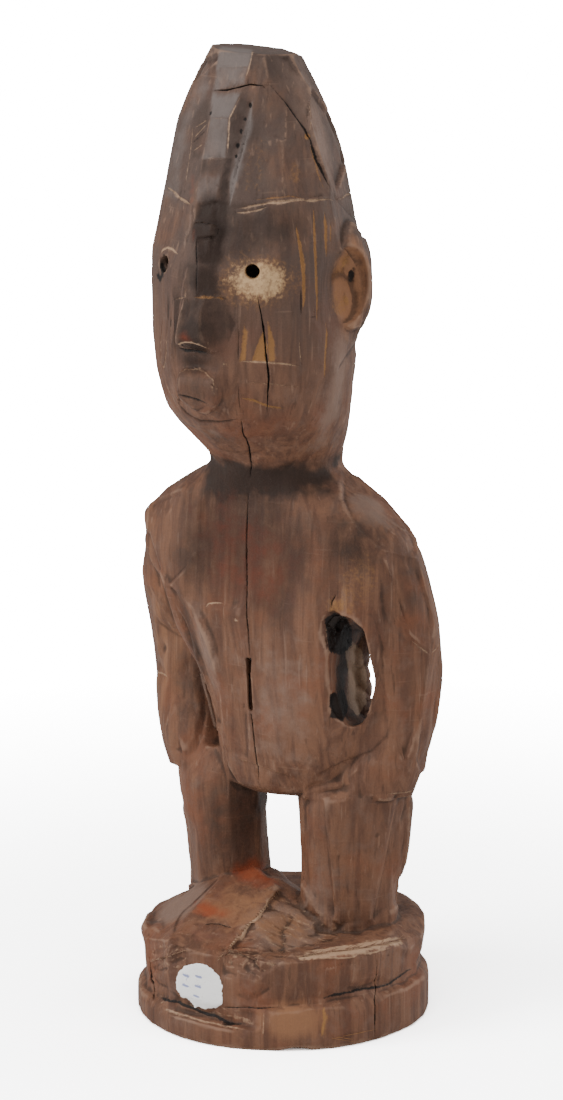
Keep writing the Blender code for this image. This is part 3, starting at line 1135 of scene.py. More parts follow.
FLATS = (
    Flats(205.0, 283.0, 8.0, 2.0, (0.18, 0.36), 2.0, 13.0, 11),
    Flats(158.0, 207.0, 8.0, 1.6, (0.1, 0.24), 2.5, 11.0, 12),
    Flats(56.0, 150.0, 8.0, 1.7, (0.09, 0.24), 3.0, 12.0, 13),
    Flats(29.0, 58.0, 7.5, 1.7, (0.09, 0.24), 3.0, 11.0, 14),
    Flats(1.0, 29.0, 8.0, 1.0, (0.06, 0.18), 2.5, 10.0, 15),
)

KEPT = (
    Keep((0, -46, 205), (9, 10, 36)),
    Keep((0, -42, 188), (12, 9, 12)),
    Keep((15.4, -38, 221.5), (6, 6, 6)),
    Keep((-14, -38, 221), (6, 6, 6)),
    Keep((28, -12, 106), (7, 20, 18)),
)

MELTS = (
    Melt((148, 512), (9, 12, 9), 25),
    Melt((143, 548), (8, 12, 12), 90),
    Melt((221, 330), (6, 7, 10), 90),
    Melt((195, 388), (9, 7, 8), 14),
    Melt((0, -4, 157), (36, 32, 9), 70),
    Melt((325, 277), (4.5, 8, 14), 90),
    Melt((398, 690), (8, 9, 17), 200),
    Melt((376, 742), (8, 9, 9), 40),
)

CROWN_LEFT: Route = ((216.8, 54), (217.3, 66), (212.7, 90.5), (211.5, 118), (203.5, 158), (196.6, 203))
CROWN_RIGHT: Route = ((252.2, 54), (249.4, 66), (243, 89), (229.5, 118), (225, 158.6), (215, 201))
RIDGE: Route = ((260.5, 57), (259, 68), (256, 92), (250.5, 120), (238.5, 157), (229, 204))
FLANK: Route = ((196, 62), (193, 82), (190, 100), (192.5, 118), (188, 155), (182, 196))
V_LINE: Route = ((268.6, 82.8), (287, 103.5), (305.3, 130.3), (310, 138), (320.6, 164.7), (333, 195.5))


def between(left: Route, right: Route, sink: float) -> tuple[Plane, ...]:
    """Gives a row of flats between two lines of pixels.

    Args:
        left: The line on the left, from the top down.
        right: The line on the right, with as many pixels.
        sink: How deep the flats lie.

    Returns:
        One flat for each stretch.
    """
    rows = zip(left[:-1], right[:-1], right[1:], left[1:])
    return tuple(Plane(corners, sink) for corners in rows)


PLANES = (
    # The coiffure's front, the strips on both sides of it, and its left side.
    *between(CROWN_LEFT, CROWN_RIGHT, 0.2),
    *between(CROWN_RIGHT, RIDGE, 0.28),
    *between(FLANK, CROWN_LEFT, 0.12),
    Plane(((256, 92), (268.6, 82.8), (287, 103.5), (284, 140), (247, 135)), 0.15),
    Plane(((247, 135), (284, 140), (282, 200), (230, 206)), 0.1),
    Plane(((287, 103.5), (305.3, 130.3), (320.6, 164.7), (333, 195.5), (282, 200), (284, 140)), 0.1),
    Plane(((268.6, 82.8), (262, 58), (288, 57), (312, 92), (307, 132), (287, 103.5)), 0.05),
    Plane(((313, 90), (333, 118), (346, 160), (335, 196), (320.6, 164.7), (310, 138)), 0.05),
    # The forehead, the right temple, and the cheek beside the nose.
    Plane(((193, 205), (214, 203), (216, 236), (194, 237)), 0.1),
    Plane(((194.5, 237), (217, 236.5), (218, 264), (196, 264)), 0.3),
    Plane(((197, 264), (218, 264), (219, 297), (197, 297)), 0.18),
    Plane(((166, 190), (188, 206), (186, 238), (165, 236)), 0.1),
    Plane(((203, 296), (220, 296), (236, 324), (226, 350), (211, 352), (202, 330)), 0.0, 0.5, 3.0),
    # The left shoulder and arm.
    Plane(((343, 470), (389, 497), (416, 531), (417, 557), (382, 548), (359, 531), (345, 498)), 0.25, 1.2,
          0.9),
    Plane(((385, 551), (417, 559), (434, 623), (429, 651), (411, 634), (394, 578)), 0.3, 1.2, 0.9),
    Plane(((378, 554), (392, 578), (410, 636), (429, 654), (427, 692), (405, 760), (388, 715),
          (384, 646)), 0.2, 1.1, 0.7),
    Plane(((431, 655), (440, 648), (441, 681), (434, 738), (423, 776), (418, 760), (428, 692)), 0.25, 1.0,
          0.9),
    # The right shoulder, the right side and the belly.
    Plane(((151, 503), (182, 491), (194, 498), (192, 543), (196, 555), (168, 584), (152, 560),
          (146, 540)), 0.25, 1.0, 0.7),
    Plane(((168, 587), (196, 605), (216, 662), (222, 727), (213, 722), (204, 670), (184, 630)), 0.3, 1.0,
          0.8),
    Plane(((198, 606), (242, 606), (244, 658), (247, 760), (224, 745), (218, 662)), 0.22, 1.0, 0.6),
    # The left leg and the mound.
    Plane(((303, 800), (338, 800), (338, 880), (330, 925), (300, 880)), 0.2, 1.0, 0.5),
    Plane(((340, 800), (376, 798), (372, 920), (342, 926)), 0.2, 1.0, 0.5),
    Plane(((378, 798), (409, 794), (403, 900), (375, 920)), 0.2, 1.0, 0.5),
    Plane(((227, 868), (252, 866), (280, 889), (248, 923), (217, 958), (170, 941), (199, 899)), 0.1, 1.6,
          1.8),
    Plane(((227, 868), (199, 899), (170, 941), (146, 940), (146, 918), (194, 886)), 0.1, 1.6, 1.8),
)

# Cracks in the wood, cut into the mesh, their insides darkened with painted shade.
CRACKS = (
    # The crown, the left cheek, and the chin down to the neck.
    Groove(((212.7, 90.5), (225.7, 89.7), (238, 87), (250, 84.3), (262.5, 86), (266, 89)), 0.45, 0.9,
           Tint.CRACK_SHADE, 0.9, 1.0, 0.5),
    Groove(((257, 293.8), (261.4, 316), (264, 332), (267, 360.7), (268.6, 378.6), (267, 414)), 0.5, 1.0,
           Tint.CRACK_SHADE, 0.9, 1.0, 0.4),
    Groove(((241, 418.8), (242.7, 434), (249, 448), (250.4, 468), (249, 480)), 0.45, 0.9, Tint.CRACK_SHADE, 0.9,
           1.0, 0.4),
    # The chest, its slot and the belly.
    Groove(((247.5, 492), (246, 530), (245.5, 560), (246.5, 610), (249, 660)), 0.4, 0.9, Tint.CRACK_SHADE, 0.8,
           1.0, 0.3),
    Groove(((249.3, 658), (249.8, 709)), 0.8, 0.4, Tint.CRACK_SHADE, 0.7, 1.0, 0.2, True),
    Groove(((250, 706), (251.5, 725), (253.5, 743.7), (256.5, 766), (259, 784)), 0.4, 0.8, Tint.CRACK_SHADE,
           0.8, 1.0, 0.4),
    # The base, the mound, the arm hole and the forehead's edge.
    Groove(((377, 958.7), (376, 986.4), (375, 1039.8)), 0.4, 0.7, Tint.CRACK_SHADE, 0.9, 0.9, 0.5),
    Groove(((148.8, 955), (151, 975), (153.7, 1000)), 0.8, 1.0, Tint.CRACK_SHADE, 0.8, 0.9, 0.5),
    Groove(((203, 925), (211, 922.5), (219, 922), (232.8, 925)), 0.5, 0.6, Tint.CRACK_SHADE, 0.9, 0.8, 0.5),
    Groove(((336, 594.7), (331.5, 602), (331, 609)), 0.4, 0.5, Tint.CRACK_SHADE, 0.9, 0.8, 0.4),
    Groove(((196, 237), (195.5, 262), (197, 298)), 0.6, 0.35, Tint.CRACK_SHADE, 0.8, 0.6, 0.4),
)

LINES = (
    # The coiffure and its hairline. The pale lines along the crown strip's right edges and the grey bevel
    # beside them are painted highlights.
    Groove(V_LINE, 0.8, 0.35, Tint.CRACK_SHADE, 0.6, 0.75, 0.4),
    Groove(((310, 140), (318, 164), (326, 192)), 0.5, 0.15, Tint.OCHRE, 1.0, 0.6, 0.6),
    Groove(((252.8, 49), (248.8, 66.7), (244, 84)), 0.6, 0.1, Tint.PALE, 1.0, 0.7, 0.3),
    Groove(((240.8, 93), (228.9, 117.7), (225.7, 158.3)), 0.6, 0.1, Tint.PALE, 1.0, 0.7, 0.3),
    Groove(((252, 100), (249.6, 125), (240, 156), (232, 183), (229, 207)), 1.3, 0.12, Tint.POLISH_AND_SHEEN, 1.2,
           1.2, 0.4),
    Groove(((313.7, 89.7), (312.2, 115.7), (308.4, 135.6)), 0.6, 0.2, Tint.PALE, 1.0, 0.7, 0.6),
    Groove(((231.8, 208.3), (246, 206.5), (262.5, 203.7), (287, 201), (305, 199.5), (336, 200)), 1.0,
           0.45, Tint.PALE, 1.0, 0.8, 0.5),
    Groove(((232, 212), (245, 211.5), (256, 210), (268, 206)), 0.7, 0.25, Tint.PALE, 1.0, 0.7, 0.5),
    Groove(((250, 200), (272, 198), (290, 196), (310, 199)), 0.5, 0.2, Tint.OCHRE, 1.0, 0.5, 0.6),
    Groove(((336, 200), (345, 197), (353, 191)), 0.9, 0.4, Tint.PALE, 1.0, 0.6, 0.5),
    Groove(((164, 185), (172, 190.7), (181.3, 199), (190.5, 205.3)), 1.0, 0.45, Tint.PALE, 1.0, 0.8, 0.5),
    Groove(((193.6, 128), (200, 123.5), (207.3, 118.8)), 0.5, 0.2, Tint.PALE, 1.0, 0.6, 0.4),
    Groove(((192, 139), (200, 130), (207.3, 121.8)), 0.5, 0.2, Tint.PALE, 1.0, 0.6, 0.4),
    Groove(((190.5, 144), (198, 137), (205.8, 129.5)), 0.7, 0.25, Tint.CRACK_SHADE, 1.0, 0.5, 0.4),
    Groove(((190.5, 151.5), (197, 147), (203, 142.5)), 0.5, 0.2, Tint.PALE, 1.0, 0.6, 0.4),
    Groove(((192.8, 115.7), (189.7, 151), (186.5, 172), (183.6, 195)), 0.5, 0.2, Tint.PALE, 1.0, 0.6, 0.4),
    # The left side of the face.
    Groove(((296.2, 224), (299, 240), (302, 256), (304.3, 278), (305, 292), (303, 312)), 1.2, 0.5,
           Tint.OCHRE, 0.8, 1.0, 0.25),
    Groove(((301.6, 289), (301.5, 316)), 0.6, 0.3, Tint.DIRT_AND_SHADE, 1.0, 0.8, 0.3),
    Groove(((313.5, 204), (315, 230), (316.4, 258), (318.6, 293), (318.6, 325)), 0.8, 0.4, Tint.OCHRE,
           0.9, 0.9, 0.3),
    Groove(((324, 211), (326.5, 232), (327.5, 259)), 0.9, 0.4, Tint.OCHRE, 0.9, 0.9, 0.3),
    Groove(((330, 222), (331.5, 245)), 0.5, 0.2, Tint.OCHRE, 0.9, 0.6, 0.3),
    Groove(((326.6, 321), (326.6, 343), (324, 380)), 0.8, 0.3, Tint.OCHRE, 0.9, 0.75, 0.4),
    Groove(((316, 306), (316, 318)), 0.5, 0.2, Tint.PALE, 0.9, 0.6, 0.3),
    Groove(((310.5, 317.5), (319, 317)), 0.5, 0.2, Tint.DIRT_AND_SHADE, 0.9, 0.8, 0.3),
    Groove(((237.5, 361.6), (256, 362.4), (274.8, 363.4), (288, 364.5), (302, 367)), 0.6, 0.3, Tint.PALE,
           1.0, 0.8, 0.2),
    Groove(((299.8, 337.5), (300.5, 352), (301.8, 367)), 0.5, 0.25, Tint.PALE, 1.0, 0.6, 0.3),
    Groove(((239, 326), (238.5, 345), (238, 362)), 0.5, 0.25, Tint.DIRT_AND_SHADE, 1.0, 0.6, 0.3),
    Groove(((243.6, 382), (275, 384.5), (308, 388.4)), 0.6, 0.25, Tint.PALE, 1.0, 0.5, 0.4),
    Groove(((239, 398), (254, 401), (266.8, 406), (286.4, 409)), 0.8, 0.35, Tint.OCHRE, 0.9, 0.7, 0.4),
    Groove(((238, 384), (239, 400), (240.5, 414)), 0.4, 0.2, Tint.DIRT_AND_SHADE, 0.9, 0.7, 0.4),
    # The right cheek, the brow, the nose and the mouth.
    Groove(((162.3, 314), (159.6, 342.9), (160.5, 362), (163, 368), (165, 360), (165.5, 339),
           (166.8, 313)), 0.8, 0.35, Tint.PALE, 0.9, 0.6, 0.3),
    Groove(((170, 310), (169, 340), (170, 362)), 0.6, 0.25, Tint.PALE, 0.9, 0.5, 0.3),
    Groove(((174.5, 312), (174, 338), (176, 358)), 0.6, 0.25, Tint.DIRT_AND_SHADE, 0.9, 0.5, 0.3),
    Groove(((159.6, 254.5), (162, 250), (166, 247.6), (171, 248.8), (177, 254.5)), 0.8, 0.35, Tint.PALE,
           1.0, 1.0, 0.3),
    Groove(((176.6, 287.5), (182.5, 291.5), (183, 297), (172, 300.5)), 0.7, 0.3, Tint.PALE, 1.0, 0.6, 0.3),
    Groove(((193, 297), (206, 297.5), (219, 297.5), (228, 300)), 0.8, 0.35, Tint.OCHRE, 1.0, 0.6, 0.4),
    Groove(((174, 394.6), (179, 405), (187, 414), (200.7, 421.4), (220.4, 422.3), (240, 419)), 1.0, 0.5,
           Tint.DIRT_AND_SHADE, 0.9, 0.8, 0.3),
    Groove(((176.6, 394.6), (186.4, 397.3), (195.4, 400), (208, 404.5)), 0.9, 0.6, Tint.CRACK_SHADE, 0.9, 0.7,
           0.3),
    Groove(((178.4, 348.5), (185, 350), (196, 350.5), (208, 353)), 1.1, 0.6, Tint.CRACK_SHADE, 0.9, 0.75, 0.3),
    # The body, the base and the left hand.
    Groove(((203.5, 609), (207.6, 603.9), (214, 603), (223, 603.3)), 0.6, 0.2, Tint.PALE, 1.0, 0.8, 0.3),
    Groove(((217, 1008), (252.6, 1008), (284, 1006)), 0.5, 0.3, Tint.CRACK_SHADE, 1.0, 0.6, 0.5),
    Groove(((385, 793.7), (401.4, 794.7), (414.7, 790.6)), 0.6, 0.25, Tint.PALE, 1.0, 0.7, 0.4),
    # The hidden sides, from the hairline round the back to the base and the crown.
    Groove(((31, 2, 237), (26, 16, 233), (12, 26, 230), (-12, 26, 230), (-26, 16, 233), (-31, -2, 237)),
           0.9, 0.4, Tint.DIRT_AND_SHADE, 1.0, 0.9, 0.5),
    Groove(((3, 30, 226), (5, 32, 205), (2, 32, 180)), 0.5, 0.8, Tint.CRACK_SHADE, 0.9, 0.9, 0.5),
    Groove(((-6, 30, 138), (-3, 32, 118), (-5, 32, 92)), 0.5, 0.8, Tint.CRACK_SHADE, 0.9, 0.9, 0.5),
    Groove(((-20, 28, 206), (-14, 30, 200), (-8, 30, 192)), 0.6, 0.25, Tint.PALE, 1.0, 0.6, 0.5),
    Groove(((8, 30, 128), (16, 30, 121), (20, 30, 112)), 0.6, 0.25, Tint.PALE, 1.0, 0.6, 0.5),
    Groove(((-18, 30, 104), (-8, 32, 100), (4, 32, 101)), 0.6, 0.25, Tint.DIRT_AND_SHADE, 1.0, 0.8, 0.5),
    Groove(((-46, 2, 118), (-47, 0, 104), (-46, 0, 92)), 0.6, 0.3, Tint.DIRT_AND_SHADE, 1.0, 0.8, 0.5),
    Groove(((-30, 34, 12), (-14, 42, 13), (6, 44, 12)), 0.7, 0.4, Tint.CRACK_SHADE, 1.0, 0.8, 0.5),
    Groove(((14, 44, 2), (15, 44, 14), (13, 42, 27)), 0.5, 0.6, Tint.CRACK_SHADE, 1.0, 0.9, 0.5),
    Groove(((-12, 4, 282), (2, 0, 282), (12, -6, 282)), 0.5, 0.5, Tint.CRACK_SHADE, 1.0, 0.9, 0.5),
    Groove(((-4, -10, 282), (0, 2, 282), (-2, 9, 282)), 0.4, 0.3, Tint.CRACK_SHADE, 1.0, 0.7, 0.5),
    # The arms.
    Groove(((148.4, 670), (156, 672), (166.7, 678)), 0.8, 0.25, Tint.PALE, 1.0, 0.7, 0.4),
    Groove(((411.6, 641.6), (420, 648), (431, 656)), 0.6, 0.2, Tint.PALE, 1.0, 0.6, 0.5),
    Groove(((431, 656), (437, 649), (440, 643)), 0.6, 0.2, Tint.PALE, 1.0, 0.6, 0.5),
)

LEDGES = (
    # The coiffure and the forehead. The steps along the forehead and the brow carry a painted highlight on
    # their lips.
    Ledge(((217, 66.5), (233, 66), (249.4, 66)), 0.22, 3.0, Side.RIGHT, Tint.PALE, 0.35),
    Ledge(((210, 118), (220, 117.5), (230, 118)), 0.25, 3.0, Side.LEFT, Tint.PALE, 0.45),
    Ledge(((203, 158), (214, 157.5), (225.5, 158.5)), 0.3, 3.5, Side.LEFT, Tint.PALE, 0.45),
    Ledge(((196, 204), (206, 202.5), (215, 201)), 0.45, 5.0, Side.RIGHT, Tint.PALE, 0.4),
    Ledge(((193, 237.5), (205, 236.5), (217.5, 236.5)), 0.4, 4.0, Side.RIGHT, Tint.PAINTED_SHEEN, 0.6),
    Ledge(((196, 264), (207, 263.8), (218.5, 264)), 0.25, 3.0, Side.LEFT, Tint.PALE, 0.4),
    Ledge(((190, 203.6), (188.6, 226.8), (183.5, 241), (182.5, 256)), 0.35, 3.5, Side.LEFT, Tint.PAINTED_SHEEN,
          0.6),
    # The right cheek, the nose and the mouth.
    Ledge(((163, 377), (168, 391), (174, 403), (182, 414.5)), 0.35, 3.0, Side.RIGHT, Tint.PALE, 0.7),
    Ledge(((175.5, 347), (182.9, 343.8), (191.8, 342.9), (200.7, 346.4), (211.4, 351.8)), 0.35, 2.5,
          Side.RIGHT, Tint.PALE, 1.0, 0.3),
    Ledge(((174, 384), (178.4, 372.5), (186.4, 369), (195.4, 370.5), (206, 372.3), (213.5, 379),
          (216, 394), (213.2, 403.6)), 0.35, 2.6, Side.LEFT, Tint.PALE, 0.6),
    Ledge(((173, 387.5), (178.4, 400), (188.2, 409), (197, 411.6), (204.3, 407), (213.2, 403.6)), 0.4,
          2.6, Side.RIGHT, Tint.DIRT_AND_SHADE, 0.7),
    # The belly and the hands. The torso's side edge carries a painted highlight on its lip, and the step under
    # the hands is darkened with grime together with painted shade.
    Ledge(((166.7, 586.5), (179, 617), (195.3, 658), (209.6, 702.9), (215.7, 727), (228, 756)), 0.45, 4.0,
          Side.RIGHT, Tint.PAINTED_SHEEN, 1.0),
    Ledge(((228, 756), (256.5, 766), (283, 776), (307.5, 784.5)), 0.35, 4.0, Side.RIGHT, Tint.PALE, 0.5),
    Ledge(((393, 715), (387, 737.6), (370.8, 751.8), (352.4, 758), (330, 768), (309, 780)), 0.4, 3.5,
          Side.LEFT, Tint.DIRT_AND_SHADE, 0.5),
    # The mound and the base. The mound's steps are darkened with grime together with painted shade, and the
    # base's chipped lower edge with painted shade.
    Ledge(((226.9, 867.8), (215, 881.6), (199.2, 899.4), (183.4, 915), (169.5, 941)), 0.35, 4.0,
          Side.LEFT, Tint.DIRT_AND_SHADE, 0.7),
    Ledge(((280, 889.5), (272, 897), (264.4, 907.3), (248.6, 923), (240.7, 933), (228.9, 946.9),
          (217, 960.7)), 0.8, 6.0, Side.LEFT, Tint.PALE, 0.9, 0.5),
    Ledge(((300, 909.3), (292, 917), (284, 926), (284.5, 940), (283, 958)), 0.6, 5.0, Side.RIGHT,
          Tint.DIRT_AND_SHADE, 0.8, 0.5),
    Ledge(((292, 952.8), (327.7, 946.9), (367, 941), (402.8, 936)), 0.4, 3.0, Side.RIGHT, Tint.PALE, 0.9,
          0.4),
    Ledge(((300, 958.5), (347.5, 957.5), (377, 953), (398, 945)), 0.6, 4.0, Side.RIGHT, Tint.PALE, 0.8,
          0.4),
    Ledge(((302, 1002), (347.5, 992.3), (387, 984.4), (416.7, 965)), 0.35, 3.0, Side.LEFT, Tint.CRACK_SHADE,
          0.7),
    Ledge(((153.7, 995), (179.4, 1004), (205, 1014), (228.9, 1022), (256.5, 1026)), 0.4, 3.0, Side.LEFT,
          Tint.CRACK_SHADE, 0.9, 0.4),
    Ledge(((155, 1006), (180, 1014), (210, 1022), (256, 1032)), 0.3, 3.0, Side.RIGHT, Tint.PALE, 0.8, 0.4),
    Ledge(((262.5, 1008), (263, 1024), (262, 1040)), 0.25, 3.0, Side.RIGHT, Tint.PALE, 0.6),
    Ledge(((323, 1004), (324, 1020), (321, 1040)), 0.4, 4.0, Side.RIGHT, Tint.OCHRE, 0.9),
    # The left shoulder, with a painted highlight on its step's lip.
    Ledge(((379, 510), (400, 522), (415, 532), (420, 548)), 0.35, 4.0, Side.RIGHT, Tint.PAINTED_SHEEN, 0.6),
)

SCOOPS = (
    # The forehead's flat, and the mound's top between the feet, which is raised.
    Scoop((203.5, 222), 1.7, 3.2, 0.3, Tint.NONE, 0.0, 0.1),
    Scoop((270, 872), 6.0, 5.0, -1.4, Tint.NONE, 0.0, 0.0),
    # The small holes in the coiffure, most darkened inside with painted shade.
    Scoop((250, 105), 0.5, 0.9, 0.5, Tint.CRACK_SHADE, 1.0),
    Scoop((244.5, 118.8), 0.6, 0.7, 0.6, Tint.CRACK_SHADE, 1.0),
    Scoop((240.5, 131), 0.5, 0.9, 0.5, Tint.CRACK_SHADE, 1.0),
    Scoop((237.2, 145.6), 0.7, 0.9, 0.7, Tint.CRACK_SHADE, 1.0),
    Scoop((235.7, 156), 0.5, 0.7, 0.5, Tint.CRACK_SHADE, 1.0),
    Scoop((209.5, 113), 0.5, 0.7, 0.4, Tint.CRACK_SHADE, 1.0),
    Scoop((308, 136), 1.0, 1.1, 0.3, Tint.OCHRE, 0.9),
    # The eyes, their holes darkened with painted shade.
    Scoop((163, 269), 1.2, 2.4, 0.6, Tint.CRACK_SHADE, 0.9, 0.1),
    Scoop((253, 272), 2.3, 2.3, 1.0, Tint.CRACK_SHADE, 1.0, 0.05),
    # The arm hole, with its far wall brought in.
    Scoop((333, 631), 3.2, 6.0, 3.2, Tint.NONE, 0.0, 0.4),
    Scoop((336, 706), 2.6, 4.2, 2.4, Tint.NONE, 0.0, 0.4),
    Scoop((364, 648), 5.5, 6.0, -3.4, Tint.NONE, 0.0, 0.0),
    Scoop((364, 675), 5.5, 6.0, -2.4, Tint.NONE, 0.0, 0.0),
    Scoop((364, 702), 5.5, 6.0, -3.4, Tint.NONE, 0.0, 0.0),
    # The ear.
    Scoop((345, 263), 1.6, 3.5, 0.5, Tint.OCHRE, 0.6, 0.6),
    Scoop((352, 276), 1.2, 3.0, 0.5, Tint.CRACK_SHADE, 0.7, 0.6),
    Scoop((346, 300), 1.6, 3.0, 0.4, Tint.OCHRE, 0.6, 0.6),
    # A nick in the belly.
    Scoop((236, 620), 0.9, 0.6, 0.15, Tint.PALE, 1.0),
)

# For each tint: place, half width, half height, strength, and how ragged it is.
STAIN_ROWS: dict[Tint, tuple] = {
    Tint.OCHRE: (
        ((260, 281), 12.0, 8.0, 0.7, 0.5), ((296, 172), 2.2, 4.5, 0.6, 0.9),
        ((360, 585), 9.0, 10.0, 0.45, 0.9), ((341, 606), 5.0, 3.0, 0.7, 0.7),
        ((362, 640), 2.5, 6.0, 0.4, 0.7), ((335, 900), 6.0, 8.0, 0.25, 0.8),
        ((340, 265), 4.0, 6.0, 0.5, 0.9), ((338, 305), 5.0, 5.0, 0.5, 0.9),
    ),
    Tint.CHALK: (
        ((258, 281.5), 10.5, 7.0, 1.0, 0.45), ((226, 365), 1.6, 1.1, 0.8, 1.2),
    ),
    Tint.RED: (
        ((186, 339), 3.0, 2.2, 0.6, 0.6), ((192, 234), 1.6, 3.0, 0.5, 0.6),
        ((250, 565), 26.0, 18.0, 0.58, 0.8), ((228, 522), 20.0, 13.0, 0.52, 0.8),
        ((252, 869), 6.5, 3.6, 1.1, 1.2), ((208, 909), 7.5, 3.6, 1.2, 1.3),
        ((204, 938), 7.0, 5.0, 0.45, 1.2), ((225, 895), 14.0, 12.0, 0.35, 0.6),
    ),
    # Grime together with painted shade: darker patches on the forehead, nose, mouth, temples, cheek, coiffure
    # and chest, the shade at the neck's foot, in the groove beside the right arm and on the arms and legs, and
    # the painted shadow that the belly throws on the right leg.
    Tint.DIRT_AND_SHADE: (
        ((205, 221), 5.0, 7.5, 2.0, 0.5), ((206, 252), 4.2, 5.5, 1.4, 0.3),
        ((208, 282), 4.5, 6.5, 1.3, 0.4), ((206, 322), 10.0, 11.0, 1.0, 0.7),
        ((195, 361), 7.0, 3.2, 1.0, 0.4), ((191, 334), 4.5, 7.0, 1.5, 0.4),
        ((195, 390), 6.0, 6.0, 0.6, 0.7), ((240, 232), 10.0, 8.0, 0.9, 0.6),
        ((272, 226), 10.0, 7.0, 0.8, 0.6), ((296, 330), 11.0, 16.0, 0.25, 0.7),
        ((247, 140), 3.5, 16.0, 0.5, 0.5), ((285, 100), 5.0, 10.0, 0.4, 0.6),
        ((238, 538), 22.0, 20.0, 0.95, 0.9), ((285, 555), 18.0, 14.0, 0.85, 0.9),
        ((185, 690), 6.0, 20.0, 0.5, 0.7), ((190, 640), 3.5, 16.0, 0.9, 0.6),
        ((412, 580), 7.0, 14.0, 0.6, 0.7), ((225, 825), 10.0, 18.0, 0.75, 0.6),
        ((262, 800), 7.0, 5.0, 1.0, 0.6), ((340, 830), 8.0, 20.0, 0.3, 0.8),
        ((258, 482), 22.0, 5.5, 1.6, 1.3), ((222, 484), 8.0, 6.0, 1.6, 1.3),
        ((205, 550), 12.0, 15.0, 0.95, 0.7), ((350, 925), 5.0, 4.0, 0.6, 0.6),
        ((214, 440), 8.0, 5.0, 0.5, 0.6), ((238, 487), 8.0, 4.5, 1.6, 0.9),
        ((200, 520), 10.0, 10.0, 0.8, 0.8), ((350, 545), 11.0, 10.0, 0.85, 0.8),
        ((270, 590), 13.0, 12.0, 0.8, 0.8),
    ),
    # Painted highlights where faces turn to the lights: the cheek's edge, the coiffure's sides, the shoulder,
    # the mound, the belly, the torso's edge beside the right arm and the chin.
    Tint.PAINTED_SHEEN: (
        ((338, 385), 5.0, 20.0, 1.0, 0.7), ((322, 130), 6.0, 18.0, 0.8, 0.4),
        ((300, 90), 7.0, 12.0, 0.6, 0.4), ((375, 505), 9.0, 7.0, 0.9, 0.8),
        ((182, 905), 11.0, 9.0, 1.4, 0.4), ((285, 925), 12.0, 10.0, 1.4, 0.5),
        ((280, 700), 13.0, 20.0, 0.6, 0.6), ((205, 655), 5.0, 16.0, 0.75, 0.5),
        ((214, 434), 2.6, 2.6, 0.8, 0.5), ((265, 880), 9.0, 6.0, 0.35, 0.7),
    ),
    # Newer wood, and on the ear painted light that lightens its shaded inside.
    Tint.FRESH_AND_LIT: (
        ((165, 640), 8.0, 30.0, 0.45, 0.7), ((285, 925), 11.0, 9.0, 0.6, 0.8),
        ((238, 905), 12.0, 10.0, 0.6, 0.8), ((347, 283), 5.0, 12.0, 1.2, 0.7),
        ((350, 280), 3.5, 6.0, 0.5, 0.9), ((292, 1022), 9.0, 5.5, 0.9, 0.3),
    ),
}
STAINS = tuple(
    Stain(centre, across, up, tint, strength, ragged)
    for tint, rows in STAIN_ROWS.items()
    for centre, across, up, strength, ragged in rows
)

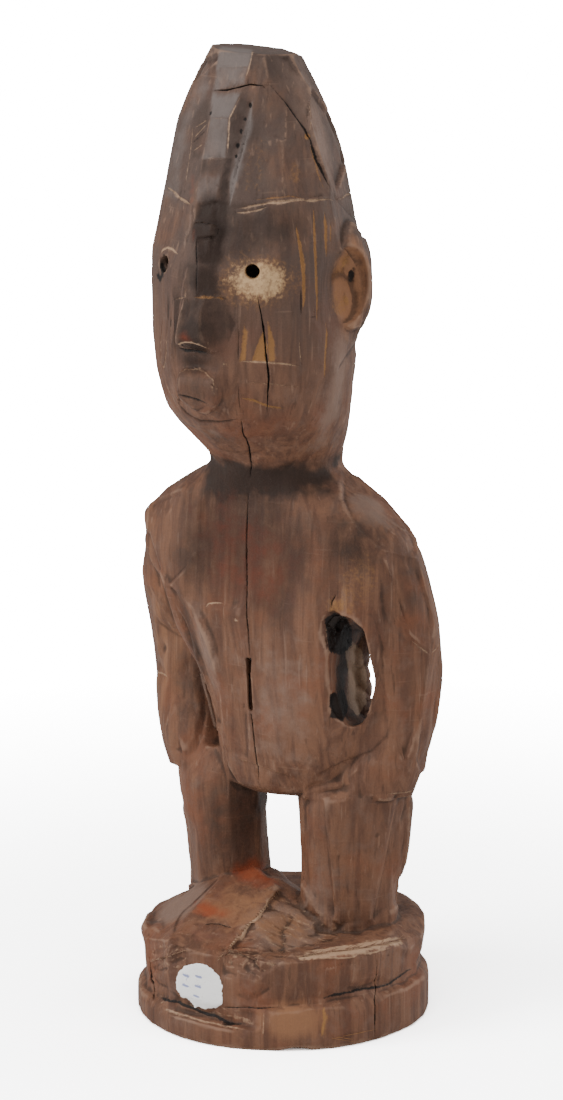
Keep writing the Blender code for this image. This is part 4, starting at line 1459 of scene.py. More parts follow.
PATCHES = (
    # The coiffure: the handled strips, polished and grey with a painted reflection of the lights, and beside
    # them darker faces of grime together with painted shade, and earthy ones.
    Patch(((219.3, 46), (252.8, 49), (248.8, 66.7), (216.1, 68.3)), Tint.POLISH_AND_SHEEN, 0.9, 0.4, 0.0, 0.2),
    Patch(((216.1, 68.3), (248.8, 66.7), (244, 84.2), (212.9, 91.4)), Tint.POLISH_AND_SHEEN, 0.65, 0.4, 0.0, 0.2),
    Patch(((212.1, 92.2), (240.8, 93), (228.9, 117.7), (210.5, 117.7)), Tint.POLISH_AND_SHEEN, 0.85, 0.4, 0.0, 0.2),
    Patch(((210.5, 117.7), (228.9, 117.7), (225.7, 158.3), (201.7, 159.1)), Tint.POLISH_AND_SHEEN, 0.65, 0.4, 0.0,
          0.2),
    Patch(((197, 175.9), (221.7, 175), (216.1, 202.2), (196.2, 203)), Tint.POLISH_AND_SHEEN, 0.45, 0.4, 0.0, 0.2),
    Patch(((155, 200), (168, 150), (190, 95), (208, 60), (212, 88), (190, 130), (178, 200)), Tint.POLISH_AND_SHEEN,
          0.42, 1.2, 0.0, 0.5),
    Patch(((201.7, 159.1), (224, 158.3), (221.7, 175), (197, 175.9)), Tint.DIRT_AND_SHADE, 0.45, 0.4, 0.0, 0.2),
    Patch(((240.8, 93), (252, 100), (248, 119), (240, 141.6), (232, 157.6), (225.7, 158.3),
          (228.9, 117.7)), Tint.DIRT_AND_SHADE, 0.55, 0.6, 0.0, 0.4),
    Patch(((225.7, 158.3), (232, 157.6), (229, 190), (226, 205), (216.1, 202.2), (221.7, 175)), Tint.DIRT_AND_SHADE,
          0.85, 0.6, 0.0, 0.4),
    Patch(((192, 105), (209, 96), (209, 118), (200, 159), (190, 160)), Tint.DIRT_AND_SHADE, 0.38, 0.8, 0.0, 0.5),
    Patch(((191, 172), (196, 173), (195, 204), (189, 203)), Tint.RED, 0.45, 0.8, 0.0, 0.4),
    Patch(((252, 50), (268, 52), (290, 80), (262, 84), (246, 84)), Tint.DIRT_AND_SHADE, 0.35, 1.0, 0.0, 0.6),
    Patch(((243, 150), (262, 120), (272, 150), (262, 196), (236, 198)), Tint.OCHRE, 0.22, 1.5, 0.0, 1.2),
    # The torn rim.
    Patch(((296, 956), (330, 948), (400, 936), (404, 944), (350, 956), (300, 961)), Tint.PALE, 0.85, 0.6,
          0.0, 0.8),
    # The arm hole: painted light on its shaded inner wall, and painted shade in its pits and along its dark
    # line.
    Patch(((345, 652), (351, 640), (362, 650), (367, 675), (366, 704), (358, 717), (346, 704),
          (349, 676)), Tint.PALE, 1.0, 0.5, 0.0, 0.2),
    Patch(((325, 619), (335, 613), (347, 618), (352, 630), (352, 646), (340, 655), (329, 652)),
          Tint.CRACK_SHADE, 0.9, 0.6),
    Patch(((329, 694), (344, 690), (349, 708), (343, 722), (331, 717)), Tint.CRACK_SHADE, 0.9, 0.6),
    Patch(((340, 652), (350, 648), (348, 672), (343, 694), (334, 696), (338, 672)), Tint.DIRT_AND_SHADE, 0.9, 0.6),
    # The notches in the left cheek.
    Patch(((243.5, 324), (248, 332), (246, 361), (239.5, 362)), Tint.OCHRE, 0.7, 0.5, -0.25, 0.15),
    Patch(((263, 332), (267, 345), (266.5, 361.6), (252, 361.6), (257, 346)), Tint.OCHRE, 1.0, 0.5, -0.35,
          0.15),
    Patch(((267.7, 320), (272, 332), (274.8, 342), (274.8, 361.6), (268.5, 361.6)), Tint.OCHRE, 0.85, 0.5,
          -0.3, 0.15),
    # The dab of paint on the base.
    Patch(((183.4, 966.6), (195.2, 963.7), (209, 965.7), (219, 976.5), (222.5, 988.4), (221.9, 1004.2),
          (209, 1008.8), (195.2, 1006.2), (189.3, 1000.3), (177.4, 992.3), (175.9, 978.5)), Tint.DAB, 1.0,
          0.35, 0.3, 0.75),
)

INK_STARTS = ((182.5, 974), (195, 975.5), (182, 984), (194.5, 985.5), (193, 995))
INK_STRENGTHS = (1.0, 0.9, 0.9, 0.8, 0.8)
INK_RUN = (7.0, 2.5)
INK = tuple(
    Groove((start, (start[0] + INK_RUN[0], start[1] + INK_RUN[1])), 0.5, 0.06, Tint.INK, 1.0,
           strength, 0.4, True)
    for start, strength in zip(INK_STARTS, INK_STRENGTHS)
)

TEARS = (
    # The mound's front, the base's front and its right end.
    Tear(((280, 889), (300, 908), (345, 926), (330, 944), (292, 952), (258, 980), (222, 962), (240, 933),
         (264, 907)), ((262, 907), (330, 935)), 1.1, (11, 2.4), 4, 61),
    Tear(((219, 945), (258, 945), (262, 980), (222, 976)), ((225, 950), (255, 975)), 0.9, (5, 2.6), 3, 62),
    Tear(((148, 940), (186, 944), (188, 968), (152, 974)), ((150, 962), (185, 952)), 0.9, (9, 2), 3, 63),
    # The rim, the lower step and the arm hole.
    Tear(((292, 950), (404, 934), (400, 946), (300, 960)), ((300, 955), (395, 941)), 0.45, (14, 1.3), 3,
         64),
    Tear(((156, 992), (258, 1012), (258, 1034), (156, 1012)), ((160, 1000), (255, 1025)), 0.45, (13, 1.4),
         3, 65),
    Tear(((326, 612), (350, 618), (352, 652), (326, 650)), ((330, 620), (345, 648)), 1.0, (4, 2), 3, 66,
         Tint.DIRT_AND_SHADE),
)


@dataclass
class Figure:
    """The whole carved figure with its base.

    Attributes:
        even: Size of the even faces that the carving starts from.
        fine: Distance from a fine mark within which faces are split.
        core: Share of that distance within which they are split again.
        faces: Number of triangles that the finished piece has.
        worn_from: Height at which the handled body starts to be softer than the head.
        worn_below: Height below which it is fully so.
        smoke_from: Height at which the dark of smoke and hands starts.
        smoke_full: Height above which it is full.
        smoke_sway: How far that height wanders.
    """

    even: float = 0.62
    fine: float = 0.75
    core: float = 0.45
    faces: int = 192_000
    worn_from: float = 206.0
    worn_below: float = 192.0
    smoke_from: float = 165.0
    smoke_full: float = 236.0
    smoke_sway: float = 7.0

    def blank(self, node: bpy.types.Object) -> Skin:
        """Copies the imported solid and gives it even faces.

        Args:
            node: The CAD node.

        Returns:
            The surface to carve.
        """
        mesh = node.data.copy()
        work = bmesh.new()
        work.from_mesh(mesh)
        bmesh.ops.remove_doubles(work, verts=work.verts, dist=1e-6)
        work.to_mesh(mesh)
        work.free()
        item = bpy.data.objects.new("blank", mesh)
        bpy.context.scene.collection.objects.link(item)
        even = item.modifiers.new("even", "REMESH")
        even.mode = "VOXEL"
        even.voxel_size = self.even * MILLIMETRE
        graph = bpy.context.evaluated_depsgraph_get()
        made = bpy.data.meshes.new_from_object(item.evaluated_get(graph))
        skin = Skin.from_mesh(made)
        bpy.data.objects.remove(item)
        bpy.data.meshes.remove(made)
        bpy.data.meshes.remove(mesh)
        return skin

    def near_marks(self, skin: Skin, form: Form, reach: float, marks: tuple) -> np.ndarray:
        """Finds the points near the fine marks.

        Args:
            skin: The surface.
            form: The solid that places are looked up on.
            reach: How near a point is.
            marks: Grooves and ledges.

        Returns:
            True for each point that is near one.
        """
        near = np.zeros(len(skin.co), dtype=bool)
        for mark in marks:
            track = form.track(mark.route)
            chosen, _, _, _ = track.measure(skin.co, reach + getattr(mark, "width", 0.4) / 2.0)
            near[chosen] = True
        return near

    def build(
        self, node: bpy.types.Object, view: PhotoView, lowest: Vector, highest: Vector
    ) -> bpy.types.Object:
        """Makes the finished figure.

        Args:
            node: The CAD node that it replaces.
            view: The photograph's camera.
            lowest: The CAD box's lowest corner, in metres.
            highest: The CAD box's highest corner, in metres.

        Returns:
            The figure's object.
        """
        form = Form(node, view)
        skin = self.blank(node)
        LOG.info("blank: %d points", len(skin.co))
        skin.co = skin.softened(skin.co, 2, 0.4)
        carver = Carver(skin, form)
        for flats in FLATS:
            count = carver.cut_flats(flats, KEPT)
            LOG.info("flats from %.0f to %.0f mm: %d", flats.low, flats.high, count)
        for melt in MELTS:
            carver.melt(melt)
        carver.outward = skin.outward()
        for plane in PLANES:
            carver.cut_plane(plane)
        worn = blend(self.worn_from, self.worn_below, skin.co[:, 2])[:, None]
        skin.co = skin.co + worn * (skin.softened(skin.co, 2, 0.5) - skin.co)
        marks = CRACKS + LINES + LEDGES + INK
        skin.refine(self.near_marks(skin, form, self.fine, marks))
        skin.refine(self.near_marks(skin, form, self.fine * self.core, CRACKS + LINES + INK))
        LOG.info("refined: %d points", len(skin.co))
        carver.outward = skin.outward()
        carver.roughen()
        for tear in TEARS:
            carver.tear_out(tear)
        carver.outward = skin.outward()
        for ledge in LEDGES:
            carver.cut_ledge(ledge)
        for scoop in SCOOPS:
            carver.cut_scoop(scoop)
        for patch in PATCHES:
            carver.paint_patch(patch)
        for groove in CRACKS + LINES + INK:
            carver.cut_groove(groove)
        for stain in STAINS:
            carver.paint_stain(stain)
        self.paint_soot(skin)
        carver.paint_wear()
        low = np.array(lowest) / MILLIMETRE
        high = np.array(highest) / MILLIMETRE
        skin.co = np.clip(skin.co, low, high)
        return self.finished(skin, low, high)

    def paint_soot(self, skin: Skin) -> None:
        """Darkens the coiffure and the upper face, as smoke and hands have."""
        height = skin.co[:, 2] + self.smoke_sway * SMOKE.at(skin.co)
        skin.tint(Tint.SOOT, np.arange(len(skin.co)), blend(self.smoke_from, self.smoke_full, height))

    def finished(self, skin: Skin, low: np.ndarray, high: np.ndarray) -> bpy.types.Object:
        """Thins the carved surface to its final faces.

        Args:
            skin: The carved surface.
            low: The CAD box's lowest corner, in millimetres.
            high: The CAD box's highest corner, in millimetres.

        Returns:
            The figure's object, at the origin.
        """
        for tint in Tint:
            if tint is not Tint.NONE:
                skin.tints.setdefault(tint, np.zeros(len(skin.co)))
        mesh = skin.to_mesh("carved_figure")
        item = bpy.data.objects.new("carved_figure_work", mesh)
        bpy.context.scene.collection.objects.link(item)
        count = len(skin.faces)
        thin = item.modifiers.new("thin", "DECIMATE")
        thin.ratio = min(1.0, self.faces / count)
        graph = bpy.context.evaluated_depsgraph_get()
        made = bpy.data.meshes.new_from_object(item.evaluated_get(graph))
        made.name = "carved_figure"
        bpy.data.objects.remove(item)
        bpy.data.meshes.remove(mesh)
        points = np.empty(len(made.vertices) * 3)
        made.vertices.foreach_get("co", points)
        points = np.clip(points.reshape(-1, 3), low * MILLIMETRE, high * MILLIMETRE)
        made.vertices.foreach_set("co", points.ravel())
        made.polygons.foreach_set("use_smooth", np.ones(len(made.polygons), dtype=bool))
        made.update()
        done = bpy.data.objects.new("carved_figure", made)
        bpy.context.scene.collection.objects.link(done)
        LOG.info("figure: %d triangles, thinned from %d", len(made.polygons), count)
        return done


class NodeBoard:
    """Puts nodes in a tree and joins them."""

    def __init__(self, tree: bpy.types.NodeTree) -> None:
        """Takes the tree to work in."""
        self.tree = tree

    def put(self, kind: str, joins: dict | None = None, out: int | str = 0, **settings: object) -> object:
        """Adds one node.

        Args:
            kind: The node's type.
            joins: For each input, by name or number, the socket that is joined to it or its plain value.
            out: The output that is wanted.
            **settings: The node's own settings.

        Returns:
            The wanted output, or the node itself if it has none.
        """
        item = self.tree.nodes.new(kind)
        for name, value in settings.items():
            setattr(item, name, value)
        for name, value in (joins or {}).items():
            socket = item.inputs[name]
            if isinstance(value, bpy.types.NodeSocket):
                self.tree.links.new(value, socket)
            else:
                socket.default_value = value
        return item.outputs[out] if len(item.outputs) else item

    def mix(self, share: object, first: object, second: object, blend_type: str = "MIX") -> object:
        """Mixes two colours."""
        joins = {0: share, 6: first, 7: second}
        return self.put("ShaderNodeMix", joins, 2, data_type="RGBA", blend_type=blend_type)

    def sum(
        self, operation: str, first: object, second: object = 0.0, third: object = 0.0, clamp: bool = False
    ) -> object:
        """Works out one number."""
        joins = {0: first, 1: second, 2: third}
        return self.put("ShaderNodeMath", joins, operation=operation, use_clamp=clamp)

    def step(self, value: object, low: float, high: float, top: float = 1.0) -> object:
        """Gives a smooth step from 0 at low to top at high."""
        return self.put(
            "ShaderNodeMapRange",
            {"Value": value, "From Min": low, "From Max": high, "To Min": 0.0, "To Max": top},
            interpolation_type="SMOOTHSTEP",
        )

    def value(self, tint: Tint) -> object:
        """Reads a value painted on the points."""
        return self.put(
            "ShaderNodeAttribute", {}, "Fac", attribute_name=tint.value, attribute_type="GEOMETRY"
        )

    def noise(
        self, place: object, scale: float, detail: float = 3.0, rough: float = 0.55, bend: float = 0.0
    ) -> object:
        """Gives noise from 0 to 1."""
        return self.put(
            "ShaderNodeTexNoise",
            {"Vector": place, "Scale": scale, "Detail": detail, "Roughness": rough, "Distortion": bend},
        )

    def stretched(
        self, place: object, scale: tuple[float, float, float], turn: tuple = (0.0, 0.0, 0.0)
    ) -> object:
        """Scales and turns a place for a pattern that is longer one way."""
        return self.put("ShaderNodeMapping", {"Vector": place, "Scale": scale, "Rotation": turn})


@dataclass(frozen=True)
class Layer:
    """A painted tint that is laid over a colour, with an uneven edge.

    Attributes:
        tint: The painted value.
        tone: The tint's colour, 0 to 255.
        noise: Noise that breaks up the edge.
        low: Value at which the tint starts.
        high: Value at which it is full.
        top: Most of the colour below that it hides.
        sway: How much the noise moves the edge.
        least: Value below which nothing is painted.
    """

    tint: Tint
    tone: tuple
    noise: object
    low: float
    high: float
    top: float
    sway: float = 0.7
    least: float = 0.004

    def over(self, board: NodeBoard, under: object) -> object:
        """Lays it over a colour.

        Args:
            board: The tree's board.
            under: The colour below.

        Returns:
            The colour on top.
        """
        centred = board.sum("SUBTRACT", self.noise, 0.5)
        uneven = board.sum("MULTIPLY_ADD", centred, self.sway, board.value(self.tint))
        painted = board.sum("GREATER_THAN", board.value(self.tint), self.least)
        share = board.sum("MULTIPLY", board.step(uneven, self.low, self.high, self.top), painted)
        return board.mix(share, under, paint(*self.tone))


@dataclass(frozen=True)
class CarvedWood:
    """The old, handled wood, with everything that lies on it, and with painted highlights and painted shade.

    Attributes:
        body: Main brown.
        deep: Darker brown of the grain.
        warm: Redder brown that shows in patches.
        grey: Greyish brown of the random mottle and of specks in the dab, and of the painted highlights on
            faces turned to the lights.
        polish_and_sheen: Grey of the coiffure's handled front: its worn, polished wood together with a painted
            reflection of the lights.
        soot: Dark of the coiffure and face.
        rubbed: Edges that hands have rubbed.
        ochre: Yellow earth and bare wood in the cuts.
        fresh: Newer wood, and painted light on the ear's shaded inside.
        red: Orange-red stains.
        pale: Torn, pale fibres; along the crown strip's edges it is a painted highlight, and on the arm hole's
            shaded wall painted light.
        dirt_and_shade: Dark brown of the grain's darks and of grime, and of the painted shade in hollows,
            creases and faces turned from the lights.
        crack: Near-black painted shade inside cracks, pits and holes, the eyes among them, and under the base's
            chipped lower edge.
        chalk: Kaolin round the eye.
        dab: White paint on the base.
        ink: Blue ink on it.
    """

    body: tuple = (112, 78, 58)
    deep: tuple = (86, 58, 44)
    warm: tuple = (114, 70, 48)
    grey: tuple = (120, 97, 84)
    polish_and_sheen: tuple = (106, 97, 93)
    soot: tuple = (70, 60, 55)
    rubbed: tuple = (146, 116, 96)
    ochre: tuple = (138, 98, 58)
    fresh: tuple = (134, 94, 66)
    red: tuple = (138, 58, 26)
    pale: tuple = (178, 146, 118)
    dirt_and_shade: tuple = (38, 25, 18)
    crack: tuple = (12, 7, 5)
    chalk: tuple = (186, 154, 116)
    dab: tuple = (250, 248, 245)
    ink: tuple = (80, 98, 170)

    def make(self) -> bpy.types.Material:
        """Makes the finish's nodes.

        Returns:
            The material.
        """
        material = bpy.data.materials.new("carved_wood_finish")
        material.use_nodes = True
        tree = material.node_tree
        tree.nodes.clear()
        board = NodeBoard(tree)
        place = board.put("ShaderNodeTexCoord", {}, "Object")
        grain = board.noise(board.stretched(place, (900.0, 900.0, 70.0)), 1.0, 4.0, 0.6, 0.4)
        slant = board.stretched(place, (700.0, 700.0, 45.0), (0.45, 0.20, 0.0))
        slant = board.noise(slant, 1.0, 2.0, 0.5, 0.3)
        cross = board.stretched(place, (60.0, 60.0, 1100.0), (0.10, -0.15, 0.0))
        cross = board.noise(cross, 1.0, 2.0, 0.5, 0.3)
        streak = board.noise(board.stretched(place, (260.0, 260.0, 16.0)), 1.0, 4.0, 0.6, 0.8)
        cloud = board.noise(place, 55.0, 4.0, 0.6)
        fleck = board.noise(place, 900.0, 3.0, 0.65)
        mottle = board.noise(place, 210.0, 4.0, 0.6)

        colour = board.mix(board.step(streak, 0.36, 0.66), paint(*self.deep), paint(*self.body))
        colour = board.mix(board.step(cloud, 0.48, 0.70, 0.7), colour, paint(*self.warm))
        colour = board.mix(board.step(mottle, 0.46, 0.76, 0.30), colour, paint(*self.grey))
        soot = board.sum("MULTIPLY", board.value(Tint.SOOT), board.step(cloud, 0.15, 0.62))
        colour = board.mix(board.sum("MULTIPLY", soot, 0.85), colour, paint(*self.soot))
        colour = board.mix(board.step(grain, 0.55, 0.80, 0.40), colour, paint(*self.dirt_and_shade))
        colour = board.mix(board.step(slant, 0.62, 0.74, 0.30), colour, paint(*self.rubbed))
        colour = board.mix(board.step(cross, 0.66, 0.80, 0.20), colour, paint(*self.rubbed))
        colour = board.mix(board.step(slant, 0.36, 0.26, 0.30), colour, paint(*self.dirt_and_shade))
        # Laid on in turn: painted highlights on faces turned to the lights, the grey of the polished front with
        # its painted reflection, newer wood with painted light at the ear, grime with painted shade in the
        # hollows, worn edges, grime with painted shade, red stains, earth, pale fibres with painted highlights
        # and painted light, and kaolin.
        for layer in (
            Layer(Tint.PAINTED_SHEEN, self.grey, mottle, 0.15, 0.75, 0.75),
            Layer(Tint.POLISH_AND_SHEEN, self.polish_and_sheen, mottle, 0.10, 0.90, 0.72),
            Layer(Tint.FRESH_AND_LIT, self.fresh, streak, 0.10, 0.60, 0.9),
            Layer(Tint.HOLLOW, self.dirt_and_shade, mottle, 0.30, 1.10, 0.65),
            Layer(Tint.EDGE, self.rubbed, mottle, 0.45, 1.10, 0.50),
            Layer(Tint.DIRT_AND_SHADE, self.dirt_and_shade, mottle, 0.05, 0.95, 0.93),
            Layer(Tint.RED, self.red, mottle, 0.20, 1.00, 0.70),
            Layer(Tint.OCHRE, self.ochre, fleck, 0.20, 0.70, 0.90),
            Layer(Tint.PALE, self.pale, fleck, 0.30, 0.85, 0.75),
            Layer(Tint.CHALK, self.chalk, fleck, 0.40, 0.80, 0.90),
        ):
            colour = layer.over(board, colour)
        white = board.mix(board.step(fleck, 0.62, 0.74, 0.25), paint(*self.dab), paint(*self.grey))
        dab = board.step(board.sum("MULTIPLY_ADD", fleck, 0.5, board.value(Tint.DAB)), 0.68, 0.80)
        colour = board.mix(dab, colour, white)
        colour = Layer(Tint.INK, self.ink, fleck, 0.15, 0.50, 0.75).over(board, colour)
        # Near-black painted shade inside cracks, pits and holes.
        colour = Layer(Tint.CRACK_SHADE, self.crack, fleck, 0.25, 0.60, 0.95).over(board, colour)

        gloss = board.sum("MULTIPLY_ADD", cloud, 0.30, 0.42)
        gloss = board.sum("MULTIPLY_ADD", grain, 0.15, gloss)
        gloss = board.sum("MULTIPLY_ADD", board.value(Tint.CHALK), 0.3, gloss, clamp=True)
        height = board.sum("MULTIPLY_ADD", grain, 0.6, fleck)
        height = board.sum("MULTIPLY_ADD", streak, 0.8, height)
        height = board.sum("MULTIPLY_ADD", slant, 0.7, height)
        height = board.sum("MULTIPLY_ADD", cross, 0.5, height)
        bump = board.put("ShaderNodeBump", {"Strength": 0.45, "Distance": 0.0003, "Height": height})
        shader = board.put(
            "ShaderNodeBsdfPrincipled",
            {"Base Color": colour, "Roughness": gloss, "Normal": bump, "IOR": 1.45, "Specular IOR Level": 0.27},
        )
        board.put("ShaderNodeOutputMaterial", {"Surface": shader})
        return material


@dataclass(frozen=True)
class TornEdge:
    """A torn edge that fibres stand along.

    Attributes:
        name: Name of the fibres' piece.
        route: Places that the edge goes through.
        spacing: Distance between fibres.
        length: Shortest and longest fibre.
        thickness: Radius of a fibre at its root.
        along: How far the fibres lie along the edge, against standing off it.
        tint: What colours them.
    """

    name: str
    route: Route
    spacing: float
    length: tuple[float, float]
    thickness: float
    along: float
    tint: Tint


TORN_EDGES = (
    TornEdge("rim_splinters", ((296, 956.5), (327.7, 951), (367, 946), (400, 939)), 0.9, (1.6, 4.5), 0.16,
             1.0, Tint.PALE),
    TornEdge("mound_splinters", ((278, 892), (264.4, 908), (248.6, 924), (230, 946), (219, 959)), 1.1,
             (0.8, 2.4), 0.16, 0.5, Tint.PALE),
    TornEdge("shard_splinters", ((151, 961), (166, 957), (184, 951)), 0.9, (1.2, 3.6), 0.18, 0.9,
             Tint.PALE),
    TornEdge("loose_fibres", ((329, 1038), (341, 1037), (352, 1035)), 1.3, (4, 9), 0.13, 0.9, Tint.OCHRE),
)


@dataclass
class Splinters:
    """Thin fibres along the torn edges, set out by geometry nodes.

    Attributes:
        form: The solid that the edges lie on.
        finish: The wood's finish.
        low: The CAD box's lowest corner, in metres.
        high: The CAD box's highest corner, in metres.
        seed: Number that picks how the fibres stray.
        stray: How far a fibre strays from the edge's own direction.
        sides: Number of sides of a fibre.
        tip: Share of its thickness that is left at its tip.
        sunk: How deep its root is in the wood.
        value: Strength of the tint on it.
        inset: How far inside the CAD box fibres are kept, in metres.
    """

    form: Form
    finish: bpy.types.Material
    low: Vector
    high: Vector
    seed: int = 7
    stray: float = 0.30
    sides: int = 5
    tip: float = 0.15
    sunk: float = 0.25
    value: float = 0.50
    inset: float = 1e-5

    def grow_tree(self) -> bpy.types.NodeTree:
        """Makes the tree that stands a tapered fibre on each step of an edge.

        Returns:
            The geometry tree.
        """
        tree = bpy.data.node_groups.new("fibres_on_edge", "GeometryNodeTree")
        face = tree.interface
        face.new_socket("Geometry", in_out="INPUT", socket_type="NodeSocketGeometry")
        for name in ("Spacing", "Shortest", "Longest", "Thickness"):
            face.new_socket(name, in_out="INPUT", socket_type="NodeSocketFloat")
        face.new_socket("Seed", in_out="INPUT", socket_type="NodeSocketInt")
        face.new_socket("Finish", in_out="INPUT", socket_type="NodeSocketMaterial")
        face.new_socket("Geometry", in_out="OUTPUT", socket_type="NodeSocketGeometry")
        board = NodeBoard(tree)
        given = tree.nodes.new("NodeGroupInput").outputs
        line = board.put("GeometryNodeMeshToCurve", {0: given["Geometry"]})
        steps = board.put(
            "GeometryNodeResampleCurve", {"Curve": line, "Length": given["Spacing"]}, "Curve", mode="LENGTH"
        )
        lean = board.put("GeometryNodeInputNamedAttribute", {"Name": "lean"}, 0, data_type="FLOAT_VECTOR")
        stray = board.put(
            "FunctionNodeRandomValue",
            {0: (-self.stray,) * 3, 1: (self.stray,) * 3, "Seed": given["Seed"]},
            0,
            data_type="FLOAT_VECTOR",
        )
        way = board.put("ShaderNodeVectorMath", {0: lean, 1: stray}, 0, operation="ADD")
        turn = board.put("FunctionNodeAlignRotationToVector", {"Vector": way}, 0, axis="Z")
        tall = board.put(
            "FunctionNodeRandomValue",
            {2: given["Shortest"], 3: given["Longest"], "Seed": given["Seed"]},
            1,
            data_type="FLOAT",
        )
        thick = board.put("ShaderNodeMath", {0: given["Thickness"], 1: self.tip}, 0, operation="MULTIPLY")
        fibre = board.put(
            "GeometryNodeMeshCone",
            {"Vertices": self.sides, "Radius Top": thick, "Radius Bottom": given["Thickness"], "Depth": 1.0},
            "Mesh",
        )
        scale = board.put("ShaderNodeCombineXYZ", {0: 1.0, 1: 1.0, 2: tall})
        stood = board.put(
            "GeometryNodeInstanceOnPoints",
            {"Points": steps, "Instance": fibre, "Rotation": turn, "Scale": scale},
        )
        whole = board.put("GeometryNodeRealizeInstances", {0: stood})
        dressed = board.put("GeometryNodeSetMaterial", {"Geometry": whole, "Material": given["Finish"]})
        last = tree.nodes.new("NodeGroupOutput")
        tree.links.new(dressed, last.inputs[0])
        return tree

    def build(self, edge: TornEdge, tree: bpy.types.NodeTree) -> bpy.types.Object:
        """Makes the fibres of one edge.

        Args:
            edge: The torn edge.
            tree: The geometry tree.

        Returns:
            The fibres' object, at the origin.
        """
        track = self.form.track(edge.route)
        heading = unit(np.gradient(track.points, axis=0))
        lean = unit(heading * edge.along + track.outward * (1.15 - edge.along))
        roots = track.points - track.outward * self.sunk
        mesh = bpy.data.meshes.new(edge.name + "_line")
        pairs = [(index, index + 1) for index in range(len(roots) - 1)]
        mesh.from_pydata((roots * MILLIMETRE).tolist(), pairs, [])
        layer = mesh.attributes.new("lean", "FLOAT_VECTOR", "POINT")
        layer.data.foreach_set("vector", lean.astype(np.float32).ravel())
        item = bpy.data.objects.new(edge.name + "_work", mesh)
        bpy.context.scene.collection.objects.link(item)
        grow = item.modifiers.new("fibres", "NODES")
        grow.node_group = tree
        wanted = {
            "Spacing": edge.spacing * MILLIMETRE,
            "Shortest": edge.length[0] * MILLIMETRE,
            "Longest": edge.length[1] * MILLIMETRE,
            "Thickness": edge.thickness * MILLIMETRE,
            "Seed": self.seed,
            "Finish": self.finish,
        }
        for socket in tree.interface.items_tree:
            if socket.in_out == "INPUT" and socket.name in wanted:
                grow[socket.identifier] = wanted[socket.name]
        graph = bpy.context.evaluated_depsgraph_get()
        made = bpy.data.meshes.new_from_object(item.evaluated_get(graph))
        bpy.data.objects.remove(item)
        bpy.data.meshes.remove(mesh)
        made.name = edge.name
        points = np.empty(len(made.vertices) * 3)
        made.vertices.foreach_get("co", points)
        low = np.array(self.low) + self.inset
        high = np.array(self.high) - self.inset
        points = np.clip(points.reshape(-1, 3), low, high)
        made.vertices.foreach_set("co", points.ravel())
        tint = made.attributes.new(edge.tint.value, "FLOAT", "POINT")
        tint.data.foreach_set("value", np.full(len(points), self.value, dtype=np.float32))
        made.update()
        done = bpy.data.objects.new(edge.name, made)
        bpy.context.scene.collection.objects.link(done)
        LOG.info("%s: %d faces", edge.name, len(made.polygons))
        return done


@dataclass(frozen=True)
class Softbox:
    """One soft, round light.

    Attributes:
        name: Its name.
        turn: Angle round from the camera to the right, in degrees.
        rise: Angle above the floor, in degrees.
        far: Distance from the figure, in metres.
        size: Its width, in metres.
        watts: Its power.
    """

    name: str
    turn: float
    rise: float
    far: float
    size: float
    watts: float


SOFTBOXES = (
    Softbox("left_softbox", -70.0, 26.0, 1.6, 1.0, 19.0),
    Softbox("top_softbox", 0.0, 70.0, 1.7, 1.1, 12.0),
    Softbox("right_fill", 62.0, 16.0, 1.9, 1.0, 8.0),
    Softbox("right_rim", 118.0, 14.0, 1.8, 1.1, 9.0),
)


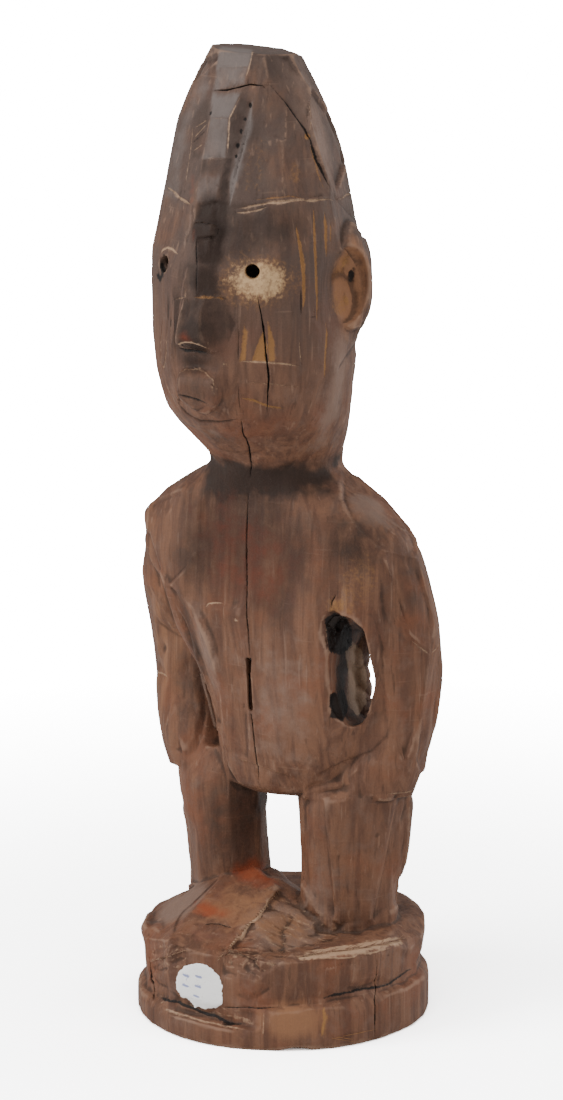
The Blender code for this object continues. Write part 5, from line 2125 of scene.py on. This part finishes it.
@dataclass
class Studio:
    """The pale floor and the soft lights.

    The photograph's paper is burnt out to white, so the floor and the air look brighter than they light.

    Attributes:
        view: The photograph's camera, which the lights are set out from.
        radius: Radius of the floor, in metres.
        paper: How much of the light the floor throws back on the figure.
        near_gain: How bright the floor looks close to the figure.
        far_gain: How bright it looks far from it.
        sky: Strength of the even light from all round.
        white: How bright the air looks behind the floor.
        near: Distance from the figure to which the floor looks as close to it, in metres.
        far: Distance from which it looks as far from it, in metres.
    """

    view: PhotoView
    radius: float = 9.0
    paper: float = 0.8
    near_gain: float = 5.5
    far_gain: float = 38.0
    sky: float = 0.55
    white: float = 25.0
    near: float = 0.10
    far: float = 0.9

    def lay_floor(self) -> bpy.types.Object:
        """Makes the floor.

        Returns:
            The floor's object.
        """
        work = bmesh.new()
        bmesh.ops.create_circle(work, cap_ends=True, radius=self.radius, segments=96)
        mesh = bpy.data.meshes.new("studio_floor")
        work.to_mesh(mesh)
        work.free()
        item = bpy.data.objects.new("studio_floor", mesh)
        bpy.context.scene.collection.objects.link(item)
        material = bpy.data.materials.new("studio_paper")
        material.use_nodes = True
        tree = material.node_tree
        tree.nodes.clear()
        board = NodeBoard(tree)
        place = board.put("ShaderNodeTexCoord", {}, "Object")
        away = board.put("ShaderNodeVectorMath", {0: place}, "Value", operation="LENGTH")
        more = board.step(away, self.near, self.far, self.far_gain - self.near_gain)
        bright = board.sum("ADD", more, self.near_gain)
        seen = board.put("ShaderNodeLightPath", {}, "Is Camera Ray")
        extra = board.sum("MULTIPLY", seen, board.sum("SUBTRACT", bright, self.paper))
        gain = board.sum("ADD", extra, self.paper)
        colour = board.put("ShaderNodeCombineXYZ", {0: gain, 1: gain, 2: gain})
        shader = board.put("ShaderNodeBsdfDiffuse", {"Color": colour})
        board.put("ShaderNodeOutputMaterial", {"Surface": shader})
        mesh.materials.append(material)
        item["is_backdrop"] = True
        LOG.info("floor: %.0f m across", 2.0 * self.radius)
        return item

    def hang(self, softbox: Softbox) -> None:
        """Hangs one soft light, turned to the middle of the figure.

        Args:
            softbox: The light.
        """
        angle = math.radians(self.view.turn + softbox.turn)
        rise = math.radians(softbox.rise)
        flat = softbox.far * math.cos(rise)
        stand = Vector((math.sin(angle) * flat, -math.cos(angle) * flat, softbox.far * math.sin(rise)))
        data = bpy.data.lights.new(softbox.name, "AREA")
        data.shape = "DISK"
        data.size = softbox.size
        data.energy = softbox.watts
        item = bpy.data.objects.new(softbox.name, data)
        item.location = stand
        aim = Vector((0.0, 0.0, self.view.aim * MILLIMETRE))
        item.rotation_euler = (aim - stand).to_track_quat("-Z", "Y").to_euler()
        bpy.context.scene.collection.objects.link(item)
        LOG.info("%s: %.0f W", softbox.name, softbox.watts)

    def build(self) -> None:
        """Lays the floor, lights the air and hangs the lights."""
        self.lay_floor()
        world = bpy.data.worlds.new("studio_air")
        world.use_nodes = True
        air = world.node_tree.nodes["Background"]
        air.inputs["Color"].default_value = (1.0, 1.0, 1.0, 1.0)
        board = NodeBoard(world.node_tree)
        seen = board.put("ShaderNodeLightPath", {}, "Is Camera Ray")
        world.node_tree.links.new(
            board.sum("MULTIPLY_ADD", seen, self.white - self.sky, self.sky), air.inputs["Strength"]
        )
        bpy.context.scene.world = world
        for softbox in SOFTBOXES:
            self.hang(softbox)


def main() -> None:
    """Builds and dresses the statue."""
    logging.basicConfig(level=logging.INFO, format="%(name)s: %(message)s")
    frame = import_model()
    solid_low, solid_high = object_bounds()
    view = PhotoView()
    view.make_camera()
    finish = CarvedWood().make()
    node = frame["nodes"][NODE]
    figure = Figure().build(node, view, solid_low, solid_high)
    figure.data.materials.clear()
    figure.data.materials.append(finish)
    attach(figure, "root")
    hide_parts(NODE)
    splinters = Splinters(Form(node, view), finish, solid_low, solid_high)
    tree = splinters.grow_tree()
    for edge in TORN_EDGES:
        fibres = splinters.build(edge, tree)
        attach(fibres, "root")
    Studio(view).build()


if __name__ == "__main__":
    main()
